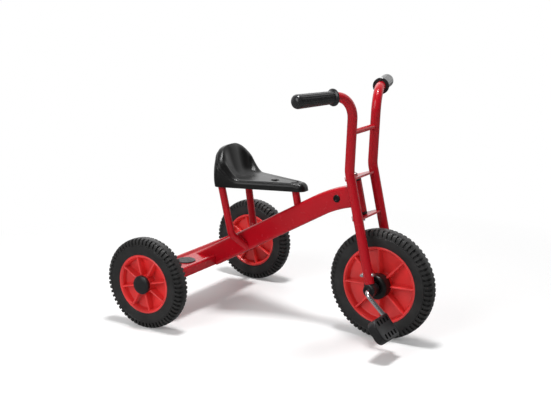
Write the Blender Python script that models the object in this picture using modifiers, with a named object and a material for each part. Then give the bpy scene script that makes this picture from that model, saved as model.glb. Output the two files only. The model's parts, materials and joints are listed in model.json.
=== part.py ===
# Kindergarten tricycle with front crank drive, modelled in metres.
# +X is forward, +Y is the rider's left, +Z is up, and Z = 0 is the ground.
# Inside the tricycle empty, X = 0 is the rear axle.

import math

import bmesh
import bpy
from mathutils import Euler, Matrix, Vector

# Overall layout
WHEELBASE = 0.562
REAR_TRACK = 0.516
REAR_TYRE_RADIUS = 0.1225
FRONT_TYRE_RADIUS = 0.145
WELD_GAP = 0.0003
RUNNING_GAP = 0.0005
CUT_MARGIN = 0.010

# Steering head
HEAD_ANGLE = math.radians(12.5)
FORK_OFFSET = 0.026
HEAD_ABOVE_AXLE = 0.2326
HEAD_TUBE_RADIUS = 0.0175
HEAD_TUBE_BORE = 0.0125
HEAD_TUBE_LENGTH = 0.082
HEAD_BUSH_FLANGE = 0.007
HEAD_BUSH_SPIGOT = 0.014
HEAD_PLAY = 0.0005
KINGPIN_RADIUS = 0.006
KINGPIN_HEAD_RADIUS = 0.0105
KINGPIN_HEAD_HEIGHT = 0.0075
KINGPIN_NUT_HEIGHT = 0.010

# Fork and handlebar
FORK_TUBE_RADIUS = 0.0125
FORK_HALF_SPACING = 0.063
KNEE_ABOVE_HEAD = 0.0726
KNEE_ANGLE = math.radians(15.0)
KNEE_RADIUS = 0.070
UPRIGHT_LENGTH = 0.193
BAR_BEND_RADIUS = 0.060
BAR_SWEEP = math.radians(18.6)
BAR_STRAIGHT = 0.006
GRIP_LENGTH = 0.128
GRIP_ROOT_RADIUS = 0.0160
GRIP_TIP_RADIUS = 0.0178
GRIP_FLANGE_RADIUS = 0.0215
GRIP_FLANGE_WIDTH = 0.005
GRIP_END_WALL = 0.009
GRIP_END_ROUND = 0.010
GRIP_END_DOME = 0.002
GRIP_END_FACE_RADIUS = 0.0125
CROSS_TUBE_RADIUS = 0.0070
CROSS_TUBE_ABOVE_KNEE = 0.0985
PLATE_THICKNESS = 0.005
PLATE_FRONT = 0.006
PLATE_BACK = 0.017
PLATE_NOSE_BACK = 0.019
PLATE_NOSE_HALF_WIDTH = 0.016
PLATE_NOSE_ROUND = 0.012
PLATE_CORNER_ROUND = 0.002

# Front axle bearings, one at the foot of each fork leg
LEG_END_ABOVE_AXLE = 0.0172
LEG_BORE_RADIUS = 0.0105
BEARING_RADIUS = 0.0166
BEARING_INNER_REACH = 0.0165
BEARING_OUTER_REACH = 0.0135
SPIGOT_LENGTH = 0.034
SPIGOT_PLAY = 0.002
LEG_BOLT_ABOVE_END = 0.022
LEG_BOLT_RADIUS = 0.003
LEG_BOLT_HEAD_RADIUS = 0.0055
LEG_BOLT_HEAD_HEIGHT = 0.004
LEG_NUT_RADIUS = 0.0062
LEG_NUT_LENGTH = 0.011

# Crank and pedals
CRANK_ROD_RADIUS = 0.00625
CRANK_RADIUS = 0.100
CRANK_ANGLE = math.radians(43.0)
CRANK_BEYOND_BEARING = 0.0135
CRANK_AXLE_BEND = 0.014
CRANK_PIN_BEND = 0.0085
CRANK_PIN_SHARE = 0.85
PEDAL_PLAY = 0.0005
PEDAL_LENGTH = 0.080
PEDAL_WIDTH = 0.062
PEDAL_THICKNESS = 0.024
PEDAL_CORNER_RADIUS = 0.020
PEDAL_INNER_ROUND = 0.004
PEDAL_TILT = math.radians(52.0)
PEDAL_WALL = 0.010
PEDAL_SLOT_COUNT = 4
PEDAL_SLOT_PITCH = 0.0155
PEDAL_SLOT_LENGTH = 0.013
PEDAL_SLOT_WIDTH = 0.0075
PEDAL_SLOT_OFFSET = 0.0185
PEDAL_EDGE = 0.0025

# Wheels
REAR_TYRE_WIDTH = 0.043
FRONT_TYRE_WIDTH = 0.045
REAR_LUG_COUNT = 32
FRONT_LUG_COUNT = 40
LUG_DEPTH = 0.0042
LUG_RAKE = math.radians(38.0)
SHOULDER_INSET = 0.0068
SHOULDER_DROP = 0.0044
CROWN_HALF_WIDTH = 0.0095
BEAD_INSET = 0.0042
TYRE_BULGE_SHARE = 0.50
REAR_RIM_RADIUS = 0.080
FRONT_RIM_RADIUS = 0.103
RIM_LIP_HEIGHT = 0.004
RIM_LIP_WIDTH = 0.0028
RIM_LIP_RAKE = 0.0009
RIM_WALL = 0.005
RIM_DRAFT = 0.002
WEB_THICKNESS = 0.005
WEB_INSET = 0.009
WEB_RIM_DROP = 0.018
RIB_PAIRS = 4
RIB_THICKNESS = 0.006
RIB_BELOW_LIP = 0.0015
HUB_DRAFT = 0.002
REAR_HUB_RADIUS = 0.023
REAR_HUB_INNER = 0.024
REAR_HUB_OUTER = 0.020
REAR_BUSH_RADIUS = 0.011
REAR_BUSH_FLANGE_RADIUS = 0.015
REAR_BUSH_FLANGE = 0.002
REAR_BUSH_LENGTH = 0.016
HUB_CAP_RADIUS = 0.025
HUB_CAP_HEIGHT = 0.012
HUB_CAP_WALL = 0.0025
HUB_CAP_FACE_RADIUS = 0.020
HUB_CAP_DOME = 0.001
HUB_CAP_ROUND = 0.006
HUB_CAP_INNER_ROUND = 0.004
FRONT_HUB_RADIUS = 0.027
FRONT_HUB_HALF_WIDTH = 0.0135
HUB_FLANGE_RADIUS = 0.0325
HUB_FLANGE_ROUND = 0.009
HUB_FLANGE_DISH = 0.007
HUB_FLANGE_DISH_RADIUS = 0.0165
HUB_FLANGE_PLAY = 0.0028

# Main beam
BEAM_HEIGHT = 0.0565
BEAM_WIDTH = 0.034
BEAM_CORNER_RADIUS = 0.0085
BEAM_BEND_RADIUS = 0.330
BEAM_HEAD_STRAIGHT = 0.018
BEAM_AT_HEAD = 0.002
BEAM_TAIL_REACH = 0.020
BEAM_TAIL_DROP = 0.03085
BEAM_PLUG_RADIUS = 0.010
BEAM_PLUG_HEIGHT = 0.003
BEAM_PLUG_FROM_HEAD = 0.052

# Rear platform and axle
AXLE_TUBE_RADIUS = 0.014
AXLE_TUBE_BORE = 0.0115
AXLE_ROD_RADIUS = 0.006
AXLE_BUSH_LENGTH = 0.018
AXLE_TUBE_PROUD = 0.005
AXLE_NUT_RADIUS = 0.009
AXLE_NUT_HEIGHT = 0.006
AXLE_END_PROUD = 0.0055
SPACER_RADIUS = 0.010
PLATFORM_HALF_WIDTH = 0.190
PLATFORM_FRONT = 0.050
PLATFORM_BACK = 0.044
PLATFORM_SHEET = 0.003
PLATFORM_RIM_HEIGHT = 0.006
PLATFORM_RIM_WIDTH = 0.010
PLATFORM_FRONT_DROP = 0.027
PLATFORM_BACK_DROP = 0.016
PLATFORM_ROUND = 0.007
BRACKET_THICKNESS = 0.005
BRACKET_FOOT = 0.020
BRACKET_ROUND = 0.004
BRACKET_FOOT_ROUND = 0.010
STEP_PAD_RADIUS = 0.027
STEP_PAD_HEIGHT = 0.003
STEP_PAD_EDGE = 0.001
STEP_PAD_FROM_CENTRE = 0.088

# Seat and its supports
SEAT_BASE_HEIGHT = 0.361
SEAT_SIDE_HEIGHT = 0.0220
SEAT_BACK_RISE = 0.084
SEAT_PAN_DROP = 0.003
SEAT_WALL = 0.0035
SEAT_REAR_X = 0.074
SEAT_REAR_HALF_WIDTH = 0.045
SEAT_CORNER_X = 0.100
SEAT_CORNER_HALF_WIDTH = 0.086
SEAT_NOSE_X = 0.335
SEAT_NOSE_HALF_WIDTH = 0.018
SEAT_BACK_WRAP = 0.165
SEAT_MEDIAL_REAR_X = 0.170
SEAT_MEDIAL_FROM_NOSE = 0.030
SEAT_BACK_BULGE = 0.005
SEAT_GROOVE_DEPTH = 0.0015
SEAT_BACK_ROUND = 0.070
SEAT_SIDE_ROUND = 0.014
SEAT_NOSE_ROUND = 0.016
SEAT_POINT_CROWDING = 0.28
SEAT_WRAP_POWER = 1.15
SEAT_GROOVE_ROW = 1
SEAT_RIM = ((0.0012, 0.0125), (0.0022, 0.0080), (0.0040, 0.0030), (0.0100, 0.0))
SEAT_INNER_SLOPE = ((0.09, 0.88), (0.21, 0.50), (0.36, 0.18), (0.62, 0.03), (1.0, 0.0))
SEAT_OUTLINE_POINTS = 32
SEAT_POST_RADIUS = 0.010
SEAT_POST_LEAN = math.radians(11.0)
SUPPORT_BEHIND_CORNER = 0.0045
SUPPORT_INSIDE_CORNER = 0.0223
SUPPORT_FOOT_X = 0.155
SUPPORT_FOOT_DROP = 0.021
SUPPORT_KNEE_BACK = 0.0235
SUPPORT_KNEE_UP = 0.042
SUPPORT_KNEE_OUT = 0.043
SUPPORT_KNEE_RADIUS = 0.030
SUPPORT_SUNK = 0.005
CARRIER_THICKNESS = 0.004
CARRIER_WIDTH = 0.028
CARRIER_ROUND = 0.004
CARRIER_OVERHANG = 0.004
SEAT_BOLT_FROM_NOSE = 0.0365
SEAT_BOLT_SPACING = 0.0615
SEAT_BOLT_RADIUS = 0.0035
SEAT_BOLT_HEAD_RADIUS = 0.0070
SEAT_BOLT_HEAD_HEIGHT = 0.0030
SEAT_BOLT_FRONT_LENGTH = 0.022
SEAT_BOLT_MIDDLE_LENGTH = 0.011

# Facet counts
TUBE_SIDES = 10
ROD_SIDES = 8
TURN_STEPS = 16
SMALL_STEPS = 8
BORE_STEPS = 12
DISC_STEPS = 24
BEND_STEPS = 4
HUB_FLANGE_STEPS = 3

# Paint, plastic, rubber and metal: linear colour, roughness, metallic
FINISHES = {
    "red_paint": ((0.55, 0.010, 0.018), 0.25, 0.0),
    "red_plastic": ((0.60, 0.030, 0.025), 0.40, 0.0),
    "black_plastic": ((0.012, 0.012, 0.013), 0.38, 0.0),
    "tyre_rubber": ((0.016, 0.016, 0.017), 0.75, 0.0),
    "grip_rubber": ((0.014, 0.014, 0.015), 0.55, 0.0),
    "chrome": ((0.80, 0.80, 0.82), 0.10, 1.0),
    "zinc_steel": ((0.60, 0.60, 0.58), 0.35, 1.0),
}

# Values that follow from the driving dimensions
STEER_AXIS = Vector((-math.sin(HEAD_ANGLE), 0.0, math.cos(HEAD_ANGLE)))
STEER_FORWARD = Vector((math.cos(HEAD_ANGLE), 0.0, math.sin(HEAD_ANGLE)))
FRONT_AXLE = Vector((WHEELBASE, 0.0, FRONT_TYRE_RADIUS))
HEAD_CENTRE = FRONT_AXLE - STEER_FORWARD * FORK_OFFSET + STEER_AXIS * HEAD_ABOVE_AXLE
HEAD_STACK = HEAD_TUBE_LENGTH + 2 * (WELD_GAP + HEAD_BUSH_FLANGE + HEAD_PLAY)
PLATE_LEVEL = HEAD_STACK / 2 + PLATE_THICKNESS / 2
REAR_AXLE_Z = REAR_TYRE_RADIUS
PLATFORM_DECK_Z = REAR_AXLE_Z + AXLE_TUBE_RADIUS + WELD_GAP + PLATFORM_SHEET
PLATFORM_RIM_Z = PLATFORM_DECK_Z + PLATFORM_RIM_HEIGHT
BEAM_HEAD = HEAD_CENTRE + STEER_AXIS * BEAM_AT_HEAD
BEAM_TAIL = Vector((-BEAM_TAIL_REACH, 0.0, PLATFORM_DECK_Z - BEAM_TAIL_DROP))
BEAM_BEND_CENTRE = BEAM_HEAD - STEER_FORWARD * BEAM_HEAD_STRAIGHT - STEER_AXIS * BEAM_BEND_RADIUS
BEAM_TO_CENTRE = BEAM_BEND_CENTRE - BEAM_TAIL
BEAM_SLOPE = math.atan2(BEAM_TO_CENTRE.z, BEAM_TO_CENTRE.x)
BEAM_SLOPE += math.asin(BEAM_BEND_RADIUS / BEAM_TO_CENTRE.length)
SEAT_PAN_Z = SEAT_BASE_HEIGHT + SEAT_SIDE_HEIGHT - SEAT_PAN_DROP
CARRIER_TOP_Z = SEAT_PAN_Z - SEAT_WALL - WELD_GAP
CARRIER_LOW_Z = CARRIER_TOP_Z - CARRIER_THICKNESS
SUPPORT_TOP_X = SEAT_CORNER_X + SUPPORT_BEHIND_CORNER
SUPPORT_TOP_Y = SEAT_CORNER_HALF_WIDTH - SUPPORT_INSIDE_CORNER
CARRIER_REAR_X = SUPPORT_TOP_X + CARRIER_OVERHANG
CARRIER_CROSS_HALF = SUPPORT_TOP_Y + CARRIER_OVERHANG
SEAT_MEDIAL_FRONT_X = SEAT_NOSE_X - SEAT_MEDIAL_FROM_NOSE
SEAT_BOLT_FRONT_X = SEAT_NOSE_X - SEAT_BOLT_FROM_NOSE
SEAT_BOLT_MIDDLE_X = SEAT_BOLT_FRONT_X - SEAT_BOLT_SPACING
BEARING_INNER_FACE = FORK_HALF_SPACING - BEARING_INNER_REACH
BEARING_OUTER_FACE = FORK_HALF_SPACING + BEARING_OUTER_REACH
CRANK_HALF_WIDTH = BEARING_OUTER_FACE + CRANK_BEYOND_BEARING
ORIGIN_X = (WHEELBASE + FRONT_TYRE_RADIUS - REAR_TYRE_RADIUS) / 2

parts = bpy.data.collections.new("tricycle")
cutters = bpy.data.collections.new("cutters")


def clear_scene():
    for obj in list(bpy.data.objects):
        bpy.data.objects.remove(obj, do_unlink=True)
    for collection in (parts, cutters):
        bpy.context.scene.collection.children.link(collection)


def make_materials():
    for name, (colour, roughness, metallic) in FINISHES.items():
        material = bpy.data.materials.new(name)
        material.use_nodes = True
        shader = material.node_tree.nodes["Principled BSDF"]
        shader.inputs["Base Color"].default_value = (*colour, 1.0)
        shader.inputs["Roughness"].default_value = roughness
        shader.inputs["Metallic"].default_value = metallic


def new_empty(name, location, parent=None, rotation=(0.0, 0.0, 0.0)):
    empty = bpy.data.objects.new(name, None)
    empty.location = location
    empty.rotation_euler = rotation
    empty.parent = parent
    empty.empty_display_size = 0.03
    parts.objects.link(empty)
    return empty


def new_part(name, data, finish, parent, location=(0.0, 0.0, 0.0), rotation=(0.0, 0.0, 0.0)):
    obj = bpy.data.objects.new(name, data)
    obj.location = location
    obj.rotation_euler = rotation
    obj.parent = parent
    data.materials.clear()
    data.materials.append(bpy.data.materials[finish])
    parts.objects.link(obj)
    return obj


def new_cutter(name, data, parent, location=(0.0, 0.0, 0.0), rotation=(0.0, 0.0, 0.0)):
    obj = bpy.data.objects.new(name, data)
    obj.location = location
    obj.rotation_euler = rotation
    obj.parent = parent
    obj.hide_render = True
    obj.display_type = "WIRE"
    cutters.objects.link(obj)
    return obj


def boolean(target, other, operation="DIFFERENCE"):
    modifier = target.modifiers.new(operation.lower() + "_" + other.name, "BOOLEAN")
    modifier.operation = operation
    modifier.object = other
    modifier.solver = "EXACT"


def rounded_path(corners, radii, steps=BEND_STEPS):
    """Straight runs through the corners, with an arc of the given radius at each inner corner.
    Steps is the number of facets in each arc, or a list with one number for each."""
    points = [Vector(corners[0])]
    counts = steps if isinstance(steps, list) else [steps] * len(radii)
    for before, corner, after, radius, steps in zip(corners, corners[1:], corners[2:], radii, counts):
        corner = Vector(corner)
        incoming = (corner - Vector(before)).normalized()
        outgoing = (Vector(after) - corner).normalized()
        turn = incoming.angle(outgoing)
        reach = radius * math.tan(turn / 2)
        start = corner - incoming * reach
        side = (outgoing - incoming * incoming.dot(outgoing)).normalized()
        for step in range(steps + 1):
            angle = turn * step / steps
            along = incoming * (radius * math.sin(angle))
            points.append(start + along + side * (radius * (1 - math.cos(angle))))
    points.append(Vector(corners[-1]))
    return points


def tube_curve(name, points, radius, sides=TUBE_SIDES):
    curve = bpy.data.curves.new(name, "CURVE")
    curve.dimensions = "3D"
    spline = curve.splines.new("POLY")
    spline.points.add(len(points) - 1)
    for slot, point in zip(spline.points, points):
        slot.co = (*point, 1.0)
    curve.bevel_depth = radius
    curve.bevel_resolution = (sides - 4) // 2
    curve.use_fill_caps = True
    return curve


def curve_to_mesh(curve):
    """The closed mesh of a tube or plate curve, with its loose caps welded."""
    holder = bpy.data.objects.new(curve.name, curve)
    bpy.context.scene.collection.objects.link(holder)
    graph = bpy.context.evaluated_depsgraph_get()
    mesh = bpy.data.meshes.new_from_object(holder.evaluated_get(graph))
    mesh.transform(holder.matrix_world)
    bpy.data.objects.remove(holder)
    weld = bmesh.new()
    weld.from_mesh(mesh)
    bmesh.ops.remove_doubles(weld, verts=weld.verts, dist=0.00002)
    bmesh.ops.recalc_face_normals(weld, faces=weld.faces)
    weld.to_mesh(mesh)
    weld.free()
    shade_round(mesh)
    return mesh


def shade_round(mesh, angle=math.radians(35)):
    mesh.shade_smooth()
    mesh.set_sharp_from_angle(angle=angle)


def cylinder_mesh(name, radius, low, high, steps=BORE_STEPS):
    """A round bar along local Z, from low to high."""
    build = bmesh.new()
    lift = Matrix.Translation((0.0, 0.0, (low + high) / 2))
    bmesh.ops.create_cone(
        build, cap_ends=True, segments=steps, radius1=radius, radius2=radius,
        depth=high - low, matrix=lift,
    )
    mesh = bpy.data.meshes.new(name)
    build.to_mesh(mesh)
    build.free()
    shade_round(mesh)
    return mesh


def box_mesh(name, low, high):
    build = bmesh.new()
    size = Vector(high) - Vector(low)
    middle = (Vector(high) + Vector(low)) / 2
    place = Matrix.Translation(middle) @ Matrix.Diagonal((*size, 1.0))
    bmesh.ops.create_cube(build, size=1.0, matrix=place)
    mesh = bpy.data.meshes.new(name)
    build.to_mesh(mesh)
    build.free()
    return mesh


def turned(name, profile, finish, parent, steps=TURN_STEPS, closed=True, **place):
    """Turns a profile of (radius, height) points round local Z, outer side listed from the top down."""
    mesh = bpy.data.meshes.new(name)
    count = len(profile)
    edges = [(index, index + 1) for index in range(count - 1)]
    if closed:
        edges.append((count - 1, 0))
    mesh.from_pydata([(radius, 0.0, height) for radius, height in profile], edges, [])
    obj = new_part(name, mesh, finish, parent, **place)
    screw = obj.modifiers.new("turn", "SCREW")
    screw.steps = steps
    screw.render_steps = steps
    screw.use_merge_vertices = True
    screw.merge_threshold = 0.00001
    screw.use_smooth_shade = True
    return obj


def sleeve(name, bore, radius, low, high, finish, parent, steps=BORE_STEPS, **place):
    profile = [(bore, high), (radius, high), (radius, low), (bore, low)]
    return turned(name, profile, finish, parent, steps, **place)


def flat_outline(name, points, thickness):
    """A flat plate in local XY, centred on Z = 0, from the points of its outline."""
    curve = bpy.data.curves.new(name, "CURVE")
    curve.dimensions = "2D"
    curve.fill_mode = "BOTH"
    curve.extrude = thickness / 2
    spline = curve.splines.new("POLY")
    spline.points.add(len(points) - 1)
    for slot, point in zip(spline.points, points):
        slot.co = (point[0], point[1], 0.0, 1.0)
    spline.use_cyclic_u = True
    return curve_to_mesh(curve)


def rounded_outline(corners, radii, steps=3):
    """A closed flat outline with an arc at each corner."""
    count = len(corners)
    points = []
    for index in range(count):
        ring = [corners[index - 1], corners[index], corners[(index + 1) % count]]
        ring = [(x, y, 0.0) for x, y in ring]
        if radii[index] > 0:
            points += rounded_path(ring, [radii[index]], steps)[1:-1]
        else:
            points.append(Vector(ring[1]))
    return [(point.x, point.y) for point in points]


def lay_along_y(side):
    """The rotation that turns local +Z to the outer side: side is -1 on the right, +1 on the left."""
    return (-side * math.pi / 2, 0.0, 0.0)


def lay_along_x():
    return (0.0, math.pi / 2, 0.0)


def tyre_mesh(name, radius, width, bead_radius, lugs):
    """A solid tyre as a loft of sections round local Z, with a lug and a groove on each pitch."""
    half = width / 2
    bead = half - BEAD_INSET
    bulge_radius = bead_radius + TYRE_BULGE_SHARE * (radius - bead_radius)
    lug = (half - SHOULDER_INSET, radius - SHOULDER_DROP)
    groove = (lug[0] - LUG_DEPTH * math.sin(LUG_RAKE), lug[1] - LUG_DEPTH * math.cos(LUG_RAKE))
    build = bmesh.new()
    rings = []
    for index in range(2 * lugs):
        angle = math.pi * index / lugs
        shoulder = lug if index % 2 == 0 else groove
        side = [(bead, bead_radius), (half, bulge_radius), shoulder, (CROWN_HALF_WIDTH, radius)]
        section = side + [(-height, reach) for height, reach in reversed(side)]
        turn = (math.cos(angle), math.sin(angle))
        points = [(reach * turn[0], reach * turn[1], height) for height, reach in section]
        rings.append([build.verts.new(point) for point in points])
    count = len(rings[0])
    for index, ring in enumerate(rings):
        following = rings[(index + 1) % len(rings)]
        for place in range(count):
            after = (place + 1) % count
            build.faces.new((ring[place], ring[after], following[after], following[place]))
    bmesh.ops.recalc_face_normals(build, faces=build.faces)
    mesh = bpy.data.meshes.new(name)
    build.to_mesh(mesh)
    build.free()
    shade_round(mesh, math.radians(40))
    return mesh


def disc_profile(rim_radius, tyre_width, hub_radius, hub_inner, hub_outer, bore):
    """Half section of a moulded wheel disc: bore, hub, web and rim with two lips for the tyre."""
    seat = rim_radius - RIM_LIP_HEIGHT - WELD_GAP
    bead = tyre_width / 2 - BEAD_INSET
    lip = bead + WELD_GAP
    rim_inner = seat - RIM_WALL
    web_low = -lip + WEB_INSET
    return [
        (bore, hub_outer),
        (hub_radius, hub_outer),
        (hub_radius + HUB_DRAFT, web_low + WEB_THICKNESS),
        (rim_inner - RIM_DRAFT, lip + RIM_LIP_WIDTH - WEB_RIM_DROP),
        (rim_inner, lip + RIM_LIP_WIDTH),
        (rim_radius, lip + RIM_LIP_WIDTH),
        (rim_radius, lip + RIM_LIP_RAKE),
        (seat, lip),
        (seat, -lip),
        (rim_radius, -lip - RIM_LIP_RAKE),
        (rim_radius, -lip - RIM_LIP_WIDTH),
        (rim_inner, -lip - RIM_LIP_WIDTH),
        (rim_inner - RIM_DRAFT, lip + RIM_LIP_WIDTH - WEB_RIM_DROP - WEB_THICKNESS),
        (hub_radius + HUB_DRAFT, web_low),
        (hub_radius, -hub_inner),
        (bore, -hub_inner),
    ]


def wheel_disc(name, parent, rotation, rim_radius, tyre_width, hub, rib_inner, bore):
    """A red moulded disc. Its web is a cone, deepest at the hub, with radial ribs on both sides."""
    profile = disc_profile(rim_radius, tyre_width, *hub, bore)
    disc = turned(name, profile, "red_plastic", parent, DISC_STEPS, rotation=rotation)
    lip = tyre_width / 2 - BEAD_INSET + WELD_GAP
    high = lip + RIM_LIP_WIDTH - RIB_BELOW_LIP
    outer = rim_radius - RIM_LIP_HEIGHT - RIM_WALL / 2
    for index in range(2 * RIB_PAIRS):
        angle = math.pi * index / RIB_PAIRS
        corners = ((rib_inner, -RIB_THICKNESS / 2, -high), (outer, RIB_THICKNESS / 2, high))
        mesh = box_mesh(name + "_rib", *corners)
        turn = Euler(rotation).to_matrix() @ Matrix.Rotation(angle, 3, "Z")
        rib = new_cutter(f"{name}_rib_{index}", mesh, parent, rotation=turn.to_euler())
        boolean(disc, rib, "UNION")
    return disc


def beam_mesh(name, gap):
    """Loft of the beam's rounded section, grown all round by the gap, along its centre line."""
    path = beam_path()
    wide = BEAM_WIDTH / 2 + gap
    tall = BEAM_HEIGHT / 2 + gap
    corners = [(-wide, -tall), (wide, -tall), (wide, tall), (-wide, tall)]
    section = rounded_outline(corners, [BEAM_CORNER_RADIUS + gap] * 4, 2)
    build = bmesh.new()
    rings = []
    for index, point in enumerate(path):
        behind = path[max(index - 1, 0)]
        ahead = path[min(index + 1, len(path) - 1)]
        along = (ahead - behind).normalized()
        up = Vector((-along.z, 0.0, along.x))
        ring = [point + Vector((0.0, x, 0.0)) + up * z for x, z in section]
        rings.append([build.verts.new(corner) for corner in ring])
    for ring, following in zip(rings, rings[1:]):
        for place in range(len(section)):
            after = (place + 1) % len(section)
            build.faces.new((ring[place], ring[after], following[after], following[place]))
    build.faces.new(rings[0])
    build.faces.new(rings[-1])
    bmesh.ops.recalc_face_normals(build, faces=build.faces)
    mesh = bpy.data.meshes.new(name)
    build.to_mesh(mesh)
    build.free()
    shade_round(mesh)
    return mesh


def build_beam(root):
    """Rounded rectangular tube from the rear platform up to the steering head."""
    beam = new_part("main_beam", beam_mesh("main_beam", 0.0), "red_paint", root)
    reach = HEAD_TUBE_LENGTH
    tube = cylinder_mesh("head_clearance", HEAD_TUBE_RADIUS + WELD_GAP, -reach, reach, TURN_STEPS)
    tilt = (0.0, -HEAD_ANGLE, 0.0)
    boolean(beam, new_cutter("head_clearance", tube, root, HEAD_CENTRE, tilt))

    top = platform_profile(WELD_GAP)
    low = REAR_AXLE_Z / 2
    outline = [(top[0].x, low)] + [(point.x, point.z) for point in top] + [(top[-1].x, low)]
    deck = flat_outline("deck_clearance", outline, 2 * BEAM_WIDTH)
    boolean(beam, new_cutter("deck_clearance", deck, root, rotation=(math.pi / 2, 0.0, 0.0)))
    for side, name in ((-1, "right"), (1, "left")):
        build_beam_plug(name, side, root)


def beam_path():
    """Centre line of the beam from its tail to the steering axis, where it lies square to the head tube."""
    bend_reach = BEAM_BEND_RADIUS * math.tan((BEAM_SLOPE - HEAD_ANGLE) / 2)
    knee = BEAM_HEAD - STEER_FORWARD * (BEAM_HEAD_STRAIGHT + bend_reach)
    return rounded_path([BEAM_TAIL, knee, BEAM_HEAD], [BEAM_BEND_RADIUS], 5)


def build_beam_plug(name, side, root):
    """Round plastic plug in the beam's side near the head."""
    centre = BEAM_HEAD - STEER_FORWARD * BEAM_PLUG_FROM_HEAD
    face = BEAM_WIDTH / 2 + WELD_GAP
    top = BEAM_PLUG_HEIGHT
    profile = [(0.0, top), (0.7 * BEAM_PLUG_RADIUS, top), (BEAM_PLUG_RADIUS, 0.4 * top)]
    profile += [(BEAM_PLUG_RADIUS, 0.0), (0.0, 0.0)]
    place = {"location": centre + Vector((0.0, side * face, 0.0)), "rotation": lay_along_y(side)}
    turned(f"beam_plug_{name}", profile, "black_plastic", root, SMALL_STEPS, False, **place)


def build_head(root):
    """Head tube welded on the beam, with a flanged plastic bush at each end."""
    tilt = (0.0, -HEAD_ANGLE, 0.0)
    place = {"location": HEAD_CENTRE, "rotation": tilt}
    half = HEAD_TUBE_LENGTH / 2
    sleeve("head_tube", HEAD_TUBE_BORE, HEAD_TUBE_RADIUS, -half, half,
           "red_paint", root, TURN_STEPS, **place)
    bore = KINGPIN_RADIUS + RUNNING_GAP
    spigot = HEAD_TUBE_BORE - WELD_GAP
    face = half + WELD_GAP
    top = face + HEAD_BUSH_FLANGE
    end = face - HEAD_BUSH_SPIGOT
    upper = [(bore, top), (HEAD_TUBE_RADIUS, top), (HEAD_TUBE_RADIUS, face)]
    upper += [(spigot, face), (spigot, end), (bore, end)]
    lower = [(radius, -height) for radius, height in reversed(upper)]
    turned("head_bush_upper", upper, "black_plastic", root, BORE_STEPS, **place)
    turned("head_bush_lower", lower, "black_plastic", root, BORE_STEPS, **place)


def platform_profile(offset=0.0):
    """Side section of the pressed rear platform, front to back, in the XZ plane."""
    rim = PLATFORM_RIM_Z + offset
    deck = PLATFORM_DECK_Z + offset
    front = PLATFORM_FRONT + offset
    back = -PLATFORM_BACK - offset
    inner_front = PLATFORM_FRONT - PLATFORM_RIM_WIDTH
    inner_back = -PLATFORM_BACK + PLATFORM_RIM_WIDTH
    corners = [
        (front, 0.0, rim - PLATFORM_FRONT_DROP),
        (front, 0.0, rim),
        (inner_front, 0.0, rim),
        (inner_front - PLATFORM_RIM_HEIGHT, 0.0, deck),
        (inner_back + PLATFORM_RIM_HEIGHT, 0.0, deck),
        (inner_back, 0.0, rim),
        (back, 0.0, rim),
        (back, 0.0, rim - PLATFORM_BACK_DROP),
    ]
    small = PLATFORM_ROUND / 3
    radii = [PLATFORM_ROUND, small, small, small, small, PLATFORM_ROUND]
    return rounded_path(corners, radii, 3)


def build_platform(root):
    """Pressed steel step platform, its side brackets, and a round anti-slip pad on each side."""
    build = bmesh.new()
    points = platform_profile()
    row = [build.verts.new(point + Vector((0.0, -PLATFORM_HALF_WIDTH, 0.0))) for point in points]
    edges = [build.edges.new(pair) for pair in zip(row, row[1:])]
    made = bmesh.ops.extrude_edge_only(build, edges=edges)
    fresh = [item for item in made["geom"] if isinstance(item, bmesh.types.BMVert)]
    bmesh.ops.translate(build, verts=fresh, vec=(0.0, 2 * PLATFORM_HALF_WIDTH, 0.0))
    bmesh.ops.recalc_face_normals(build, faces=build.faces)
    middle = max(build.faces, key=lambda face: face.calc_area())
    if middle.normal.z < 0:
        bmesh.ops.reverse_faces(build, faces=build.faces)
    mesh = bpy.data.meshes.new("rear_platform")
    build.to_mesh(mesh)
    build.free()
    shade_round(mesh)
    platform = new_part("rear_platform", mesh, "red_paint", root)
    shell = platform.modifiers.new("sheet", "SOLIDIFY")
    shell.thickness = PLATFORM_SHEET
    shell.offset = -1.0
    shell.use_even_offset = True

    foot = REAR_AXLE_Z - BRACKET_FOOT
    low = REAR_AXLE_Z - AXLE_TUBE_RADIUS / 2
    corners = [
        (-PLATFORM_BACK, PLATFORM_RIM_Z),
        (PLATFORM_FRONT, PLATFORM_RIM_Z),
        (PLATFORM_FRONT, low),
        (BRACKET_FOOT, foot),
        (-BRACKET_FOOT, foot),
        (-PLATFORM_BACK, low),
    ]
    foot_round = BRACKET_FOOT_ROUND
    radii = [PLATFORM_ROUND] * 2 + [BRACKET_ROUND, foot_round, foot_round, BRACKET_ROUND]
    outline = rounded_outline(corners, radii)
    hole = AXLE_TUBE_RADIUS + WELD_GAP
    for side, name in ((-1, "right"), (1, "left")):
        middle = side * (PLATFORM_HALF_WIDTH + WELD_GAP + BRACKET_THICKNESS / 2)
        mesh = flat_outline(f"axle_bracket_{name}", outline, BRACKET_THICKNESS)
        place = {"location": (0.0, middle, 0.0), "rotation": (math.pi / 2, 0.0, 0.0)}
        bracket = new_part(f"axle_bracket_{name}", mesh, "red_paint", root, **place)
        drill = cylinder_mesh("axle_hole", hole, -BRACKET_THICKNESS, BRACKET_THICKNESS)
        axle = (0.0, middle, REAR_AXLE_Z)
        boolean(bracket, new_cutter(f"axle_hole_{name}", drill, root, axle, lay_along_y(side)))

        top = STEP_PAD_HEIGHT
        profile = [(0.0, top), (STEP_PAD_RADIUS - STEP_PAD_EDGE, top)]
        profile.append((STEP_PAD_RADIUS, top - STEP_PAD_EDGE))
        profile += [(STEP_PAD_RADIUS, 0.0), (0.0, 0.0)]
        spot = (0.0, side * STEP_PAD_FROM_CENTRE, PLATFORM_DECK_Z + WELD_GAP)
        turned(f"step_pad_{name}", profile, "black_plastic", root, TURN_STEPS, False, location=spot)


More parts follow.
